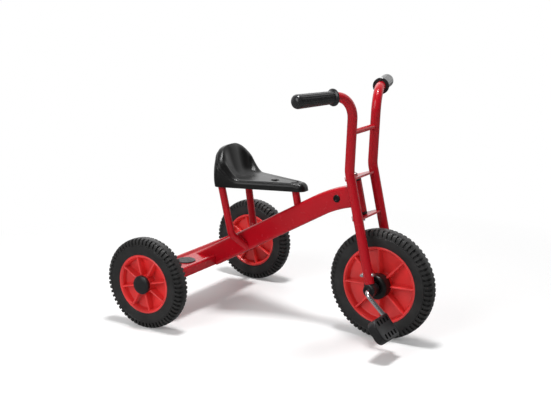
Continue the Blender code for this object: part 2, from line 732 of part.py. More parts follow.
def build_rear_axle(root):
    """Axle tube under the platform, with a fixed steel axle rod held in two bushes."""
    tube_half = PLATFORM_HALF_WIDTH + WELD_GAP + BRACKET_THICKNESS + AXLE_TUBE_PROUD
    place = {"location": (0.0, 0.0, REAR_AXLE_Z), "rotation": lay_along_y(-1)}
    sleeve("rear_axle_tube", AXLE_TUBE_BORE, AXLE_TUBE_RADIUS, -tube_half, tube_half,
           "red_paint", root, **place)
    end = REAR_TRACK / 2 + REAR_HUB_OUTER + WELD_GAP + REAR_BUSH_FLANGE + AXLE_NUT_HEIGHT
    rod = cylinder_mesh("rear_axle", AXLE_ROD_RADIUS, -end, end)
    new_part("rear_axle", rod, "zinc_steel", root, **place)
    bore = AXLE_ROD_RADIUS + WELD_GAP
    hub_face = REAR_TRACK / 2 - REAR_HUB_INNER - WELD_GAP - REAR_BUSH_FLANGE - RUNNING_GAP
    nut_face = REAR_TRACK / 2 + REAR_HUB_OUTER + WELD_GAP + REAR_BUSH_FLANGE + RUNNING_GAP
    for side, name in ((-1, "right"), (1, "left")):
        place = {"location": (0.0, 0.0, REAR_AXLE_Z), "rotation": lay_along_y(side)}
        spigot = AXLE_TUBE_BORE - WELD_GAP
        start = tube_half - AXLE_BUSH_LENGTH
        sleeve(f"axle_bush_{name}", bore, spigot, start, tube_half,
               "black_plastic", root, **place)
        sleeve(f"axle_spacer_{name}", bore, SPACER_RADIUS, tube_half + WELD_GAP, hub_face,
               "zinc_steel", root, **place)
        hexagon = [(AXLE_NUT_RADIUS * math.cos(math.pi * step / 3),
                    AXLE_NUT_RADIUS * math.sin(math.pi * step / 3)) for step in range(6)]
        mesh = flat_outline(f"axle_nut_{name}", hexagon, AXLE_NUT_HEIGHT)
        middle = Vector((0.0, side * (nut_face + AXLE_NUT_HEIGHT / 2), REAR_AXLE_Z))
        nut = new_part(f"axle_nut_{name}", mesh, "zinc_steel", root, middle, lay_along_y(side))
        drill = cylinder_mesh("nut_hole", bore, -AXLE_NUT_HEIGHT, AXLE_NUT_HEIGHT)
        boolean(nut, new_cutter(f"nut_hole_{name}", drill, root, middle, lay_along_y(side)))


def build_rear_wheel(name, side, root):
    """One rear wheel with its tyre, ribbed disc, two bushes and cap, turning on the fixed axle."""
    centre = (0.0, side * REAR_TRACK / 2, REAR_AXLE_Z)
    hub = new_empty(f"rear_wheel_{name}_axis", centre, root)
    turn = lay_along_y(side)
    bead = REAR_RIM_RADIUS - RIM_LIP_HEIGHT
    tyre = tyre_mesh("rear_tyre", REAR_TYRE_RADIUS, REAR_TYRE_WIDTH, bead, REAR_LUG_COUNT)
    new_part(f"rear_tyre_{name}", tyre, "tyre_rubber", hub, rotation=turn)
    wheel_disc(f"rear_disc_{name}", hub, turn, REAR_RIM_RADIUS, REAR_TYRE_WIDTH,
               (REAR_HUB_RADIUS, REAR_HUB_INNER, REAR_HUB_OUTER), REAR_HUB_RADIUS - HUB_DRAFT,
               REAR_BUSH_RADIUS + WELD_GAP)
    bore = AXLE_ROD_RADIUS + RUNNING_GAP
    for place, face in (("outer", REAR_HUB_OUTER), ("inner", REAR_HUB_INNER)):
        seat = face + WELD_GAP
        top = seat + REAR_BUSH_FLANGE
        end = seat - REAR_BUSH_LENGTH
        profile = [(bore, top), (REAR_BUSH_FLANGE_RADIUS, top), (REAR_BUSH_FLANGE_RADIUS, seat)]
        profile += [(REAR_BUSH_RADIUS, seat), (REAR_BUSH_RADIUS, end), (bore, end)]
        if place == "inner":
            profile = [(radius, -height) for radius, height in reversed(profile)]
        turned(f"wheel_bush_{place}_{name}", profile, "black_plastic", hub, SMALL_STEPS, rotation=turn)
    low = REAR_HUB_OUTER + WELD_GAP
    top = low + HUB_CAP_HEIGHT
    roof = top - HUB_CAP_WALL
    inner = HUB_CAP_RADIUS - HUB_CAP_WALL
    profile = [
        (0.0, top),
        (HUB_CAP_FACE_RADIUS, top - HUB_CAP_DOME),
        (HUB_CAP_RADIUS, top - HUB_CAP_ROUND),
        (HUB_CAP_RADIUS, low),
        (inner, low),
        (inner, roof - HUB_CAP_INNER_ROUND),
        (inner - HUB_CAP_INNER_ROUND, roof),
        (0.0, roof),
    ]
    turned(f"hub_cap_{name}", profile, "black_plastic", hub, closed=False, rotation=turn)


def fork_path(side):
    """Centre line of a fork leg and its handlebar half, in the steering empty's frame."""
    foot = Vector((FORK_OFFSET, side * FORK_HALF_SPACING, LEG_END_ABOVE_AXLE - HEAD_ABOVE_AXLE))
    knee = Vector((FORK_OFFSET, side * FORK_HALF_SPACING, KNEE_ABOVE_HEAD))
    corner = knee + upright_direction() * UPRIGHT_LENGTH
    straight = BAR_STRAIGHT + GRIP_LENGTH - GRIP_END_WALL - WELD_GAP
    end = corner + bar_direction(side) * (BAR_BEND_RADIUS + straight)
    return rounded_path([foot, knee, corner, end], [KNEE_RADIUS, BAR_BEND_RADIUS], [2, 5])


def upright_direction():
    return Vector((math.sin(KNEE_ANGLE), 0.0, math.cos(KNEE_ANGLE)))


def bar_direction(side):
    """Direction of a grip, level and swept back, in the steering empty's frame."""
    level = Vector((-math.sin(BAR_SWEEP), side * math.cos(BAR_SWEEP), 0.0))
    return Vector((level.dot(STEER_FORWARD), level.y, level.dot(STEER_AXIS)))


def build_fork(steering):
    """Two bent tubes, the cross tube, two plates and the kingpin that holds them on the head."""
    plates = []
    for level, name in ((PLATE_LEVEL, "upper"), (-PLATE_LEVEL, "lower")):
        reach = FORK_HALF_SPACING
        edge = FORK_OFFSET + PLATE_FRONT
        back = FORK_OFFSET - PLATE_BACK
        nose = -PLATE_NOSE_BACK
        half = PLATE_NOSE_HALF_WIDTH
        corners = [(edge, -reach), (edge, reach), (back, reach), (nose, half), (nose, -half), (back, -reach)]
        small = PLATE_CORNER_ROUND
        radii = [small, small, small, PLATE_NOSE_ROUND, PLATE_NOSE_ROUND, small]
        outline = rounded_outline(corners, radii, 2)
        mesh = flat_outline(f"fork_plate_{name}", outline, PLATE_THICKNESS)
        plate = new_part(f"fork_plate_{name}", mesh, "red_paint", steering, (0.0, 0.0, level))
        drill = cylinder_mesh("pin_hole", KINGPIN_RADIUS + WELD_GAP, -PLATE_THICKNESS, PLATE_THICKNESS)
        boolean(plate, new_cutter(f"pin_hole_{name}", drill, steering, (0.0, 0.0, level)))
        plates.append((plate, level))
    for side, name in ((-1, "right"), (1, "left")):
        build_fork_tube(name, side, steering, plates)
    build_cross_tube(steering)
    build_kingpin(steering)


def build_fork_tube(name, side, steering, plates):
    mesh = curve_to_mesh(tube_curve(f"fork_tube_{name}", fork_path(side), FORK_TUBE_RADIUS))
    tube = new_part(f"fork_tube_{name}", mesh, "red_paint", steering)
    foot = Vector((FORK_OFFSET, side * FORK_HALF_SPACING, LEG_END_ABOVE_AXLE - HEAD_ABOVE_AXLE))
    bore = cylinder_mesh("leg_bore", LEG_BORE_RADIUS, -CUT_MARGIN, SPIGOT_LENGTH + SPIGOT_PLAY)
    boolean(tube, new_cutter(f"leg_bore_{name}", bore, steering, foot))
    spot = foot + Vector((0.0, 0.0, LEG_BOLT_ABOVE_END))
    reach = FORK_TUBE_RADIUS + CUT_MARGIN
    drill = cylinder_mesh("bolt_hole", LEG_BOLT_RADIUS + WELD_GAP, -reach, reach, SMALL_STEPS)
    hole = new_cutter(f"leg_bolt_hole_{name}", drill, steering, spot, lay_along_x())
    boolean(tube, hole)
    for plate, level in plates:
        reach = PLATE_THICKNESS
        seat = cylinder_mesh("tube_seat", FORK_TUBE_RADIUS + WELD_GAP, -reach, reach, TURN_STEPS)
        where = Vector((FORK_OFFSET, side * FORK_HALF_SPACING, level))
        boolean(plate, new_cutter(f"{plate.name}_seat_{name}", seat, steering, where))
    build_bearing(name, side, steering, foot, hole)
    build_leg_bolt(name, steering, spot)
    build_grip(name, side, steering)


def build_bearing(name, side, steering, foot, hole):
    """Plastic bearing block for the front axle, plugged into the leg and held by a cross bolt."""
    axle = Vector((FORK_OFFSET, 0.0, -HEAD_ABOVE_AXLE))
    mesh = cylinder_mesh("bearing", BEARING_RADIUS, BEARING_INNER_FACE, BEARING_OUTER_FACE, TURN_STEPS)
    block = new_part(f"wheel_bearing_{name}", mesh, "black_plastic", steering, axle, lay_along_y(side))
    collar = cylinder_mesh("collar", FORK_TUBE_RADIUS, -LEG_END_ABOVE_AXLE, -WELD_GAP)
    boolean(block, new_cutter(f"bearing_collar_{name}", collar, steering, foot), "UNION")
    plug = cylinder_mesh("plug", LEG_BORE_RADIUS - WELD_GAP, -LEG_END_ABOVE_AXLE / 2, SPIGOT_LENGTH)
    boolean(block, new_cutter(f"bearing_plug_{name}", plug, steering, foot), "UNION")
    inner = BEARING_INNER_FACE - CUT_MARGIN
    outer = BEARING_OUTER_FACE + CUT_MARGIN
    bore = cylinder_mesh("bearing_bore", CRANK_ROD_RADIUS + RUNNING_GAP, inner, outer)
    boolean(block, new_cutter(f"bearing_bore_{name}", bore, steering, axle, lay_along_y(side)))
    boolean(block, hole)


def build_leg_bolt(name, steering, spot):
    """Cross bolt from the front of the leg, with an acorn nut behind it."""
    seat = FORK_TUBE_RADIUS + WELD_GAP
    head = seat + LEG_BOLT_HEAD_HEIGHT
    tip = -seat - 0.7 * LEG_NUT_LENGTH
    profile = [
        (0.0, head),
        (0.6 * LEG_BOLT_HEAD_RADIUS, head),
        (LEG_BOLT_HEAD_RADIUS, seat + 0.4 * LEG_BOLT_HEAD_HEIGHT),
        (LEG_BOLT_HEAD_RADIUS, seat),
        (LEG_BOLT_RADIUS, seat),
        (LEG_BOLT_RADIUS, tip),
        (0.0, tip),
    ]
    place = {"location": spot, "rotation": lay_along_x()}
    turned(f"leg_bolt_{name}", profile, "chrome", steering, SMALL_STEPS, False, **place)
    bore = LEG_BOLT_RADIUS + WELD_GAP
    low = -seat - LEG_NUT_LENGTH
    profile = [
        (0.0, tip - WELD_GAP),
        (bore, tip - WELD_GAP),
        (bore, -seat),
        (LEG_NUT_RADIUS, -seat),
        (LEG_NUT_RADIUS, -seat - 0.45 * LEG_NUT_LENGTH),
        (0.75 * LEG_NUT_RADIUS, -seat - 0.80 * LEG_NUT_LENGTH),
        (0.0, low),
    ]
    turned(f"leg_nut_{name}", profile, "chrome", steering, SMALL_STEPS, False, **place)


def build_grip(name, side, steering):
    """Rubber grip with a flange, sleeved over the end of the bar."""
    corner = Vector((FORK_OFFSET, side * FORK_HALF_SPACING, KNEE_ABOVE_HEAD))
    corner += upright_direction() * UPRIGHT_LENGTH
    along = bar_direction(side)
    root_point = corner + along * (BAR_BEND_RADIUS + BAR_STRAIGHT)
    turn = along.to_track_quat("Z", "Y").to_euler()
    bore = FORK_TUBE_RADIUS + WELD_GAP
    end = GRIP_LENGTH
    profile = [
        (0.0, end),
        (GRIP_END_FACE_RADIUS, end - GRIP_END_DOME),
        (GRIP_TIP_RADIUS, end - GRIP_END_ROUND),
        (GRIP_ROOT_RADIUS, GRIP_FLANGE_WIDTH),
        (GRIP_FLANGE_RADIUS, GRIP_FLANGE_WIDTH),
        (GRIP_FLANGE_RADIUS, 0.0),
        (bore, 0.0),
        (bore, end - GRIP_END_WALL),
        (0.0, end - GRIP_END_WALL),
    ]
    turned(f"grip_{name}", profile, "grip_rubber", steering, TURN_STEPS, False,
           location=root_point, rotation=turn)


def build_cross_tube(steering):
    """Short tube that ties the two uprights together above the head."""
    knee = Vector((FORK_OFFSET, 0.0, KNEE_ABOVE_HEAD))
    middle = knee + upright_direction() * CROSS_TUBE_ABOVE_KNEE
    reach = FORK_HALF_SPACING
    mesh = cylinder_mesh("cross_tube", CROSS_TUBE_RADIUS, -reach, reach, SMALL_STEPS)
    tube = new_part("cross_tube", mesh, "red_paint", steering, middle, lay_along_y(-1))
    for side, name in ((-1, "right"), (1, "left")):
        length = 2 * FORK_TUBE_RADIUS
        mesh = cylinder_mesh("upright", FORK_TUBE_RADIUS + WELD_GAP, -length, length, TURN_STEPS)
        where = middle + Vector((0.0, side * FORK_HALF_SPACING, 0.0))
        boolean(tube, new_cutter(f"upright_{name}", mesh, steering, where, (0.0, KNEE_ANGLE, 0.0)))


def build_kingpin(steering):
    """Through bolt on the steering axis and its nut."""
    seat = PLATE_LEVEL + PLATE_THICKNESS / 2 + WELD_GAP
    tip = -seat - KINGPIN_NUT_HEIGHT
    profile = [
        (0.0, seat + KINGPIN_HEAD_HEIGHT),
        (0.7 * KINGPIN_HEAD_RADIUS, seat + KINGPIN_HEAD_HEIGHT),
        (KINGPIN_HEAD_RADIUS, seat + 0.6 * KINGPIN_HEAD_HEIGHT),
        (KINGPIN_HEAD_RADIUS, seat),
        (KINGPIN_RADIUS, seat),
        (KINGPIN_RADIUS, tip),
        (0.0, tip),
    ]
    turned("kingpin_bolt", profile, "zinc_steel", steering, BORE_STEPS, False)
    hexagon = [(KINGPIN_HEAD_RADIUS * math.cos(math.pi * step / 3),
                KINGPIN_HEAD_RADIUS * math.sin(math.pi * step / 3)) for step in range(6)]
    mesh = flat_outline("kingpin_nut", hexagon, KINGPIN_NUT_HEIGHT)
    middle = (0.0, 0.0, -seat - KINGPIN_NUT_HEIGHT / 2)
    nut = new_part("kingpin_nut", mesh, "zinc_steel", steering, middle)
    reach = KINGPIN_NUT_HEIGHT
    drill = cylinder_mesh("kingpin_nut_hole", KINGPIN_RADIUS + WELD_GAP, -reach, reach)
    boolean(nut, new_cutter("kingpin_nut_hole", drill, steering, middle))


def crank_path():
    """Centre line of the one piece crank, in the front wheel's frame, from right pin to left pin."""
    arm = Vector((math.cos(CRANK_ANGLE), 0.0, -math.sin(CRANK_ANGLE))) * CRANK_RADIUS
    pin = pedal_inner_face() + CRANK_PIN_SHARE * PEDAL_LENGTH
    corners = [
        arm + Vector((0.0, -pin, 0.0)),
        arm + Vector((0.0, -CRANK_HALF_WIDTH, 0.0)),
        Vector((0.0, -CRANK_HALF_WIDTH, 0.0)),
        Vector((0.0, CRANK_HALF_WIDTH, 0.0)),
        Vector((0.0, CRANK_HALF_WIDTH, 0.0)) - arm,
        Vector((0.0, pin, 0.0)) - arm,
    ]
    bends = [CRANK_PIN_BEND, CRANK_AXLE_BEND, CRANK_AXLE_BEND, CRANK_PIN_BEND]
    return rounded_path(corners, bends, [3, 4, 4, 3])


def pedal_inner_face():
    return CRANK_HALF_WIDTH + CRANK_PIN_BEND + PEDAL_PLAY


def build_front_wheel(wheel):
    """Front wheel with its ribbed disc, two hub flanges and the one piece crank fixed through it."""
    turn = lay_along_y(-1)
    bead = FRONT_RIM_RADIUS - RIM_LIP_HEIGHT
    tyre = tyre_mesh("front_tyre", FRONT_TYRE_RADIUS, FRONT_TYRE_WIDTH, bead, FRONT_LUG_COUNT)
    new_part("front_tyre", tyre, "tyre_rubber", wheel, rotation=turn)
    bore = CRANK_ROD_RADIUS + WELD_GAP
    wheel_disc("front_disc", wheel, turn, FRONT_RIM_RADIUS, FRONT_TYRE_WIDTH,
               (FRONT_HUB_RADIUS, FRONT_HUB_HALF_WIDTH, FRONT_HUB_HALF_WIDTH),
               HUB_FLANGE_RADIUS + WELD_GAP, bore)
    low = FRONT_HUB_HALF_WIDTH + WELD_GAP
    top = BEARING_INNER_FACE - HUB_FLANGE_PLAY
    floor = top - HUB_FLANGE_DISH
    profile = [(bore, floor), (HUB_FLANGE_DISH_RADIUS, floor)]
    for step in range(HUB_FLANGE_STEPS + 1):
        angle = math.pi / 2 * step / HUB_FLANGE_STEPS
        reach = HUB_FLANGE_RADIUS - HUB_FLANGE_ROUND * (1 - math.sin(angle))
        profile.append((reach, top - HUB_FLANGE_ROUND * (1 - math.cos(angle))))
    profile += [(HUB_FLANGE_RADIUS, low), (bore, low)]
    for side, name in ((-1, "right"), (1, "left")):
        turned(f"hub_flange_{name}", profile, "black_plastic", wheel, rotation=lay_along_y(side))
    crank = tube_curve("crank_axle", crank_path(), CRANK_ROD_RADIUS, ROD_SIDES)
    new_part("crank_axle", crank, "chrome", wheel)


def build_pedal(name, side, wheel):
    """Slotted block pedal with a rounded outer end, turning on the crank's pin."""
    forward = math.cos(CRANK_ANGLE) * CRANK_RADIUS * -side
    upward = math.sin(CRANK_ANGLE) * CRANK_RADIUS * side
    axis = new_empty(f"pedal_{name}_axis", (forward, 0.0, upward), wheel)
    inner = pedal_inner_face()
    half = PEDAL_WIDTH / 2
    corners = [(-half, 0.0), (half, 0.0), (half, PEDAL_LENGTH), (-half, PEDAL_LENGTH)]
    radii = [PEDAL_INNER_ROUND] * 2 + [PEDAL_CORNER_RADIUS] * 2
    corners = [(x, side * (inner + y)) for x, y in corners]
    mesh = flat_outline(f"pedal_{name}", rounded_outline(corners, radii, 3), PEDAL_THICKNESS)
    tilt = (0.0, PEDAL_TILT, 0.0)
    pedal = new_part(f"pedal_{name}", mesh, "black_plastic", axis, rotation=tilt)
    bevel = pedal.modifiers.new("edge", "BEVEL")
    bevel.width = PEDAL_EDGE
    bevel.segments = 1
    bevel.limit_method = "ANGLE"
    first = inner + PEDAL_WALL + PEDAL_SLOT_WIDTH / 2
    for index in range(PEDAL_SLOT_COUNT):
        reach = side * (first + index * PEDAL_SLOT_PITCH)
        for edge in (-1, 1):
            middle = edge * PEDAL_SLOT_OFFSET
            low = (middle - PEDAL_SLOT_LENGTH / 2, reach - PEDAL_SLOT_WIDTH / 2, -PEDAL_THICKNESS)
            high = (middle + PEDAL_SLOT_LENGTH / 2, reach + PEDAL_SLOT_WIDTH / 2, PEDAL_THICKNESS)
            slot = box_mesh("pedal_slot", low, high)
            label = f"pedal_slot_{name}_{index}_{edge + 1}"
            boolean(pedal, new_cutter(label, slot, axis, rotation=tilt))
    depth = inner + CRANK_PIN_SHARE * PEDAL_LENGTH + 2 * RUNNING_GAP
    bore = cylinder_mesh("pedal_bore", CRANK_ROD_RADIUS + RUNNING_GAP, inner - CUT_MARGIN, depth)
    boolean(pedal, new_cutter(f"pedal_bore_{name}", bore, axis, rotation=lay_along_y(side)))


def seat_outline():
    """Points round the seat's lower edge from the middle of the back, with their distance along it."""
    corners = [
        (SEAT_REAR_X, 0.0),
        (SEAT_REAR_X, SEAT_REAR_HALF_WIDTH),
        (SEAT_CORNER_X, SEAT_CORNER_HALF_WIDTH),
        (SEAT_NOSE_X, SEAT_NOSE_HALF_WIDTH),
        (SEAT_NOSE_X, 0.0),
    ]
    corners = [(x, y, 0.0) for x, y in corners]
    fine = rounded_path(corners, [SEAT_BACK_ROUND, SEAT_SIDE_ROUND, SEAT_NOSE_ROUND], 12)
    lengths = [0.0]
    for start, end in zip(fine, fine[1:]):
        lengths.append(lengths[-1] + (end - start).length)
    half_count = SEAT_OUTLINE_POINTS // 2
    half = []
    for index in range(half_count + 1):
        share = index / half_count
        target = lengths[-1] * share * (1 - SEAT_POINT_CROWDING * (1 - share))
        place = max(i for i, length in enumerate(lengths[:-1]) if length <= target + 1e-9)
        span = lengths[place + 1] - lengths[place]
        mix = (target - lengths[place]) / span if span else 0.0
        half.append((fine[place].lerp(fine[place + 1], mix), target))
    mirrored = [(Vector((point.x, -point.y, 0.0)), length) for point, length in reversed(half[1:-1])]
    return half + mirrored


def seat_rings(point, length):
    """One spoke of the seat's outer skin, from its lower edge over the crest to the middle of the pan."""
    share = min(length / SEAT_BACK_WRAP, 1.0)
    back = (1 + math.cos(math.pi * share ** SEAT_WRAP_POWER)) / 2
    crest = SEAT_BASE_HEIGHT + SEAT_SIDE_HEIGHT + SEAT_BACK_RISE * back
    rise = crest - SEAT_PAN_Z
    middle_x = min(max(point.x, SEAT_MEDIAL_REAR_X), SEAT_MEDIAL_FRONT_X)
    middle = Vector((middle_x, 0.0, 0.0))
    inward = (middle - point).normalized()
    reach = (middle - point).length
    groove = SEAT_GROOVE_DEPTH * back
    bulge = SEAT_BACK_BULGE * back
    rim = [(0.0, SEAT_BASE_HEIGHT), (-bulge, (SEAT_BASE_HEIGHT + crest) / 2)]
    for row, (offset, drop) in enumerate(SEAT_RIM):
        rim.append((offset + (groove if row == SEAT_GROOVE_ROW else 0.0), crest - drop))
    spoke = [point + inward * offset + Vector((0.0, 0.0, height)) for offset, height in rim]
    start = rim[-1][0]
    for share, height in SEAT_INNER_SLOPE:
        offset = start + (reach - start) * share
        spoke.append(point + inward * offset + Vector((0.0, 0.0, SEAT_PAN_Z + rise * height)))
    return spoke


def build_seat(root):
    """Moulded seat shell with a raised back, open underneath, and its two bolts."""
    build = bmesh.new()
    spokes = [[build.verts.new(place) for place in seat_rings(*item)] for item in seat_outline()]
    for index, spoke in enumerate(spokes):
        following = spokes[(index + 1) % len(spokes)]
        for place in range(len(spoke) - 1):
            build.faces.new((spoke[place], spoke[place + 1], following[place + 1], following[place]))
    bmesh.ops.remove_doubles(build, verts=build.verts, dist=0.00001)
    bmesh.ops.recalc_face_normals(build, faces=build.faces)
    highest = max(build.faces, key=lambda face: face.calc_center_median().z)
    if highest.normal.z < 0:
        bmesh.ops.reverse_faces(build, faces=build.faces)
    mesh = bpy.data.meshes.new("seat")
    build.to_mesh(mesh)
    build.free()
    shade_round(mesh, math.radians(60))
    seat = new_part("seat", mesh, "black_plastic", root)
    shell = seat.modifiers.new("wall", "SOLIDIFY")
    shell.thickness = SEAT_WALL
    shell.offset = -1.0
    for name, x, length in seat_bolts():
        hole = SEAT_BOLT_RADIUS + WELD_GAP
        drill = cylinder_mesh("seat_hole", hole, -CUT_MARGIN, CUT_MARGIN, SMALL_STEPS)
        cutter = new_cutter(f"seat_hole_{name}", drill, root, (x, 0.0, SEAT_PAN_Z))
        boolean(seat, cutter)
        build_seat_bolt(name, x, length, root)


def seat_bolts():
    return [
        ("front", SEAT_BOLT_FRONT_X, SEAT_BOLT_FRONT_LENGTH),
        ("middle", SEAT_BOLT_MIDDLE_X, SEAT_BOLT_MIDDLE_LENGTH),
    ]


def build_seat_bolt(name, x, length, root):
    top = 2 * WELD_GAP + SEAT_BOLT_HEAD_HEIGHT
    profile = [
        (0.0, top),
        (0.6 * SEAT_BOLT_HEAD_RADIUS, top),
        (SEAT_BOLT_HEAD_RADIUS, 2 * WELD_GAP + 0.3 * SEAT_BOLT_HEAD_HEIGHT),
        (SEAT_BOLT_HEAD_RADIUS, 2 * WELD_GAP),
        (SEAT_BOLT_RADIUS, 2 * WELD_GAP),
        (SEAT_BOLT_RADIUS, -length),
        (0.0, -length),
    ]
    place = {"location": (x, 0.0, SEAT_PAN_Z)}
    turned(f"seat_bolt_{name}", profile, "black_plastic", root, SMALL_STEPS, False, **place)


def build_seat_supports(root):
    """Flat carrier under the seat, a post in front and two bent tubes at the back."""
    half = CARRIER_WIDTH / 2
    back = CARRIER_REAR_X - half
    front = SEAT_BOLT_FRONT_X + half
    corners = [
        (back, -CARRIER_CROSS_HALF), (CARRIER_REAR_X + half, -CARRIER_CROSS_HALF),
        (CARRIER_REAR_X + half, -half), (front, -half), (front, half),
        (CARRIER_REAR_X + half, half), (CARRIER_REAR_X + half, CARRIER_CROSS_HALF),
        (back, CARRIER_CROSS_HALF),
    ]
    small = CARRIER_ROUND
    outline = rounded_outline(corners, [small, small, 0.0, small, small, 0.0, small, small], 2)
    mesh = flat_outline("seat_carrier", outline, CARRIER_THICKNESS)
    middle = (0.0, 0.0, CARRIER_TOP_Z - CARRIER_THICKNESS / 2)
    carrier = new_part("seat_carrier", mesh, "zinc_steel", root, middle)
    hole = SEAT_BOLT_RADIUS + WELD_GAP
    for name, x, length in seat_bolts():
        drill = cylinder_mesh("carrier_hole", hole, -CUT_MARGIN, CUT_MARGIN, SMALL_STEPS)
        boolean(carrier, new_cutter(f"carrier_hole_{name}", drill, root, (x, 0.0, CARRIER_TOP_Z)))

    top = Vector((SEAT_BOLT_FRONT_X, 0.0, CARRIER_LOW_Z))
    down = Vector((math.sin(SEAT_POST_LEAN), 0.0, -math.cos(SEAT_POST_LEAN)))
    above = top - down * CUT_MARGIN
    drop = top.z - beam_point(top.x).z
    length = drop / (math.cos(SEAT_POST_LEAN) + math.sin(SEAT_POST_LEAN) * math.tan(BEAM_SLOPE))
    post = support_tube("seat_post_front", [above, top + down * length], root)
    boolean(post, support_trim("post_top_trim", root))
    boolean(post, new_cutter("post_foot_trim", beam_mesh("post_foot_trim", WELD_GAP), root))
    drill = cylinder_mesh("post_hole", hole, -SEAT_BOLT_FRONT_LENGTH, CUT_MARGIN, SMALL_STEPS)
    boolean(post, new_cutter("post_hole", drill, root, top))

    for side, name in ((-1, "right"), (1, "left")):
        foot = beam_point(SUPPORT_FOOT_X)
        foot += Vector((0.0, side * (BEAM_WIDTH / 2 - SUPPORT_SUNK), -SUPPORT_FOOT_DROP))
        knee = foot + Vector((-SUPPORT_KNEE_BACK, side * SUPPORT_KNEE_OUT, SUPPORT_KNEE_UP))
        top = Vector((SUPPORT_TOP_X, side * SUPPORT_TOP_Y, CARRIER_LOW_Z))
        above = top + (top - knee).normalized() * CUT_MARGIN
        path = rounded_path([above, knee, foot], [SUPPORT_KNEE_RADIUS])
        tube = support_tube(f"seat_support_{name}", path, root)
        boolean(tube, support_trim(f"support_top_trim_{name}", root))
        boolean(tube, beam_envelope(f"support_foot_trim_{name}", root))


def beam_point(x):
    """The point of the beam's straight centre line at this distance in front of the rear axle."""
    knee = beam_path()[1]
    return Vector((x, 0.0, knee.z - (knee.x - x) * math.tan(BEAM_SLOPE)))


def support_tube(name, path, root):
    mesh = curve_to_mesh(tube_curve(name, path, SEAT_POST_RADIUS))
    return new_part(name, mesh, "red_paint", root)


def support_trim(name, root):
    """Cuts a support level with the underside of the carrier."""
    low = (0.0, -SEAT_CORNER_HALF_WIDTH, CARRIER_LOW_Z - WELD_GAP)
    high = (SEAT_NOSE_X, SEAT_CORNER_HALF_WIDTH, CARRIER_LOW_Z + 2 * CUT_MARGIN)
    return new_cutter(name, box_mesh(name, low, high), root)


def beam_envelope(name, root):
    """The straight part of the beam with the weld gap round it, which the supports are cut to."""
    knee = beam_path()[1]
    reach = (knee - BEAM_TAIL).length
    slope = (0.0, -BEAM_SLOPE, 0.0)
    half_width = BEAM_WIDTH / 2 + WELD_GAP
    half_height = BEAM_HEIGHT / 2 + WELD_GAP
    mesh = box_mesh(name, (-reach, -half_width, -half_height), (0.0, half_width, half_height))
    return new_cutter(name, mesh, root, knee, slope)


def main():
    clear_scene()
    make_materials()
    root = new_empty("tricycle", (-ORIGIN_X, 0.0, 0.0))
    build_beam(root)
    build_head(root)
    build_platform(root)
    build_rear_axle(root)
    for side, name in ((-1, "right"), (1, "left")):
        build_rear_wheel(name, side, root)
    build_seat(root)
    build_seat_supports(root)
    steering = new_empty("steering_axis", HEAD_CENTRE, root, (0.0, -HEAD_ANGLE, 0.0))
    build_fork(steering)
    wheel = new_empty("front_wheel_axis", (FORK_OFFSET, 0.0, -HEAD_ABOVE_AXLE), steering,
                      (0.0, HEAD_ANGLE, 0.0))
    build_front_wheel(wheel)
    for side, name in ((-1, "right"), (1, "left")):
        build_pedal(name, side, wheel)


main()
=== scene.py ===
# Kindergarten tricycle on a white studio floor.
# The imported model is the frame. The pieces made here stand for its nodes with finer forms.

import json
from math import asin, atan2, cos, exp, pi, radians, sin, tan

import bmesh
import bpy
from mathutils import Matrix, Vector


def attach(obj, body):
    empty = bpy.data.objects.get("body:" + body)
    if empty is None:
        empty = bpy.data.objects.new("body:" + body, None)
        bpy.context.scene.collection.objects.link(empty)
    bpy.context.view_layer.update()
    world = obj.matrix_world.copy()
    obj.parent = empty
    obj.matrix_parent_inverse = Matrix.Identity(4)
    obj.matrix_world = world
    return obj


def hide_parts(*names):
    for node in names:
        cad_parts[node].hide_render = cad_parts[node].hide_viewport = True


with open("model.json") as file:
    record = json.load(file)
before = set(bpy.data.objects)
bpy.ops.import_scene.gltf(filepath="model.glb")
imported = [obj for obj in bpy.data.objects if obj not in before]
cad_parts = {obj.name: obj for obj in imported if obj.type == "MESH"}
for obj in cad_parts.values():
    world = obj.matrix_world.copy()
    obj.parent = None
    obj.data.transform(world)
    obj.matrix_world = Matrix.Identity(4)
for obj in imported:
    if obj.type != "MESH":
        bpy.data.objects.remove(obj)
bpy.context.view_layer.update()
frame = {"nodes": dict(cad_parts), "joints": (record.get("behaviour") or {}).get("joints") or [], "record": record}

# Places that the frame gives
JOINT_PLACE = {joint["name"]: Vector(joint["pos_m"]) for joint in frame["joints"]}
JOINT_AXIS = {joint["name"]: Vector(joint["axis"]) for joint in frame["joints"]}
HEAD = JOINT_PLACE["steering_turn"]
STEER_AXIS = JOINT_AXIS["steering_turn"].normalized()
STEER_FORWARD = Vector((STEER_AXIS.z, 0, -STEER_AXIS.x))
FRONT_HUB = JOINT_PLACE["front_wheel_spin"]
REAR_X = JOINT_PLACE["rear_wheel_right_spin"].x
REAR_Z = JOINT_PLACE["rear_wheel_right_spin"].z
SIDES = ((-1, "right"), (1, "left"))
Y = Vector((0, 1.0, 0))
Z = Vector((0, 0, 1.0))

# Camera, in metres and degrees
CAMERA_PLACE = Vector((1.45225, -2.40406, 0.99924))
CAMERA_YAW = radians(122.064)
CAMERA_PITCH = radians(13.364)
CAMERA_LENS = 70.84
CAMERA_SENSOR = 36.0

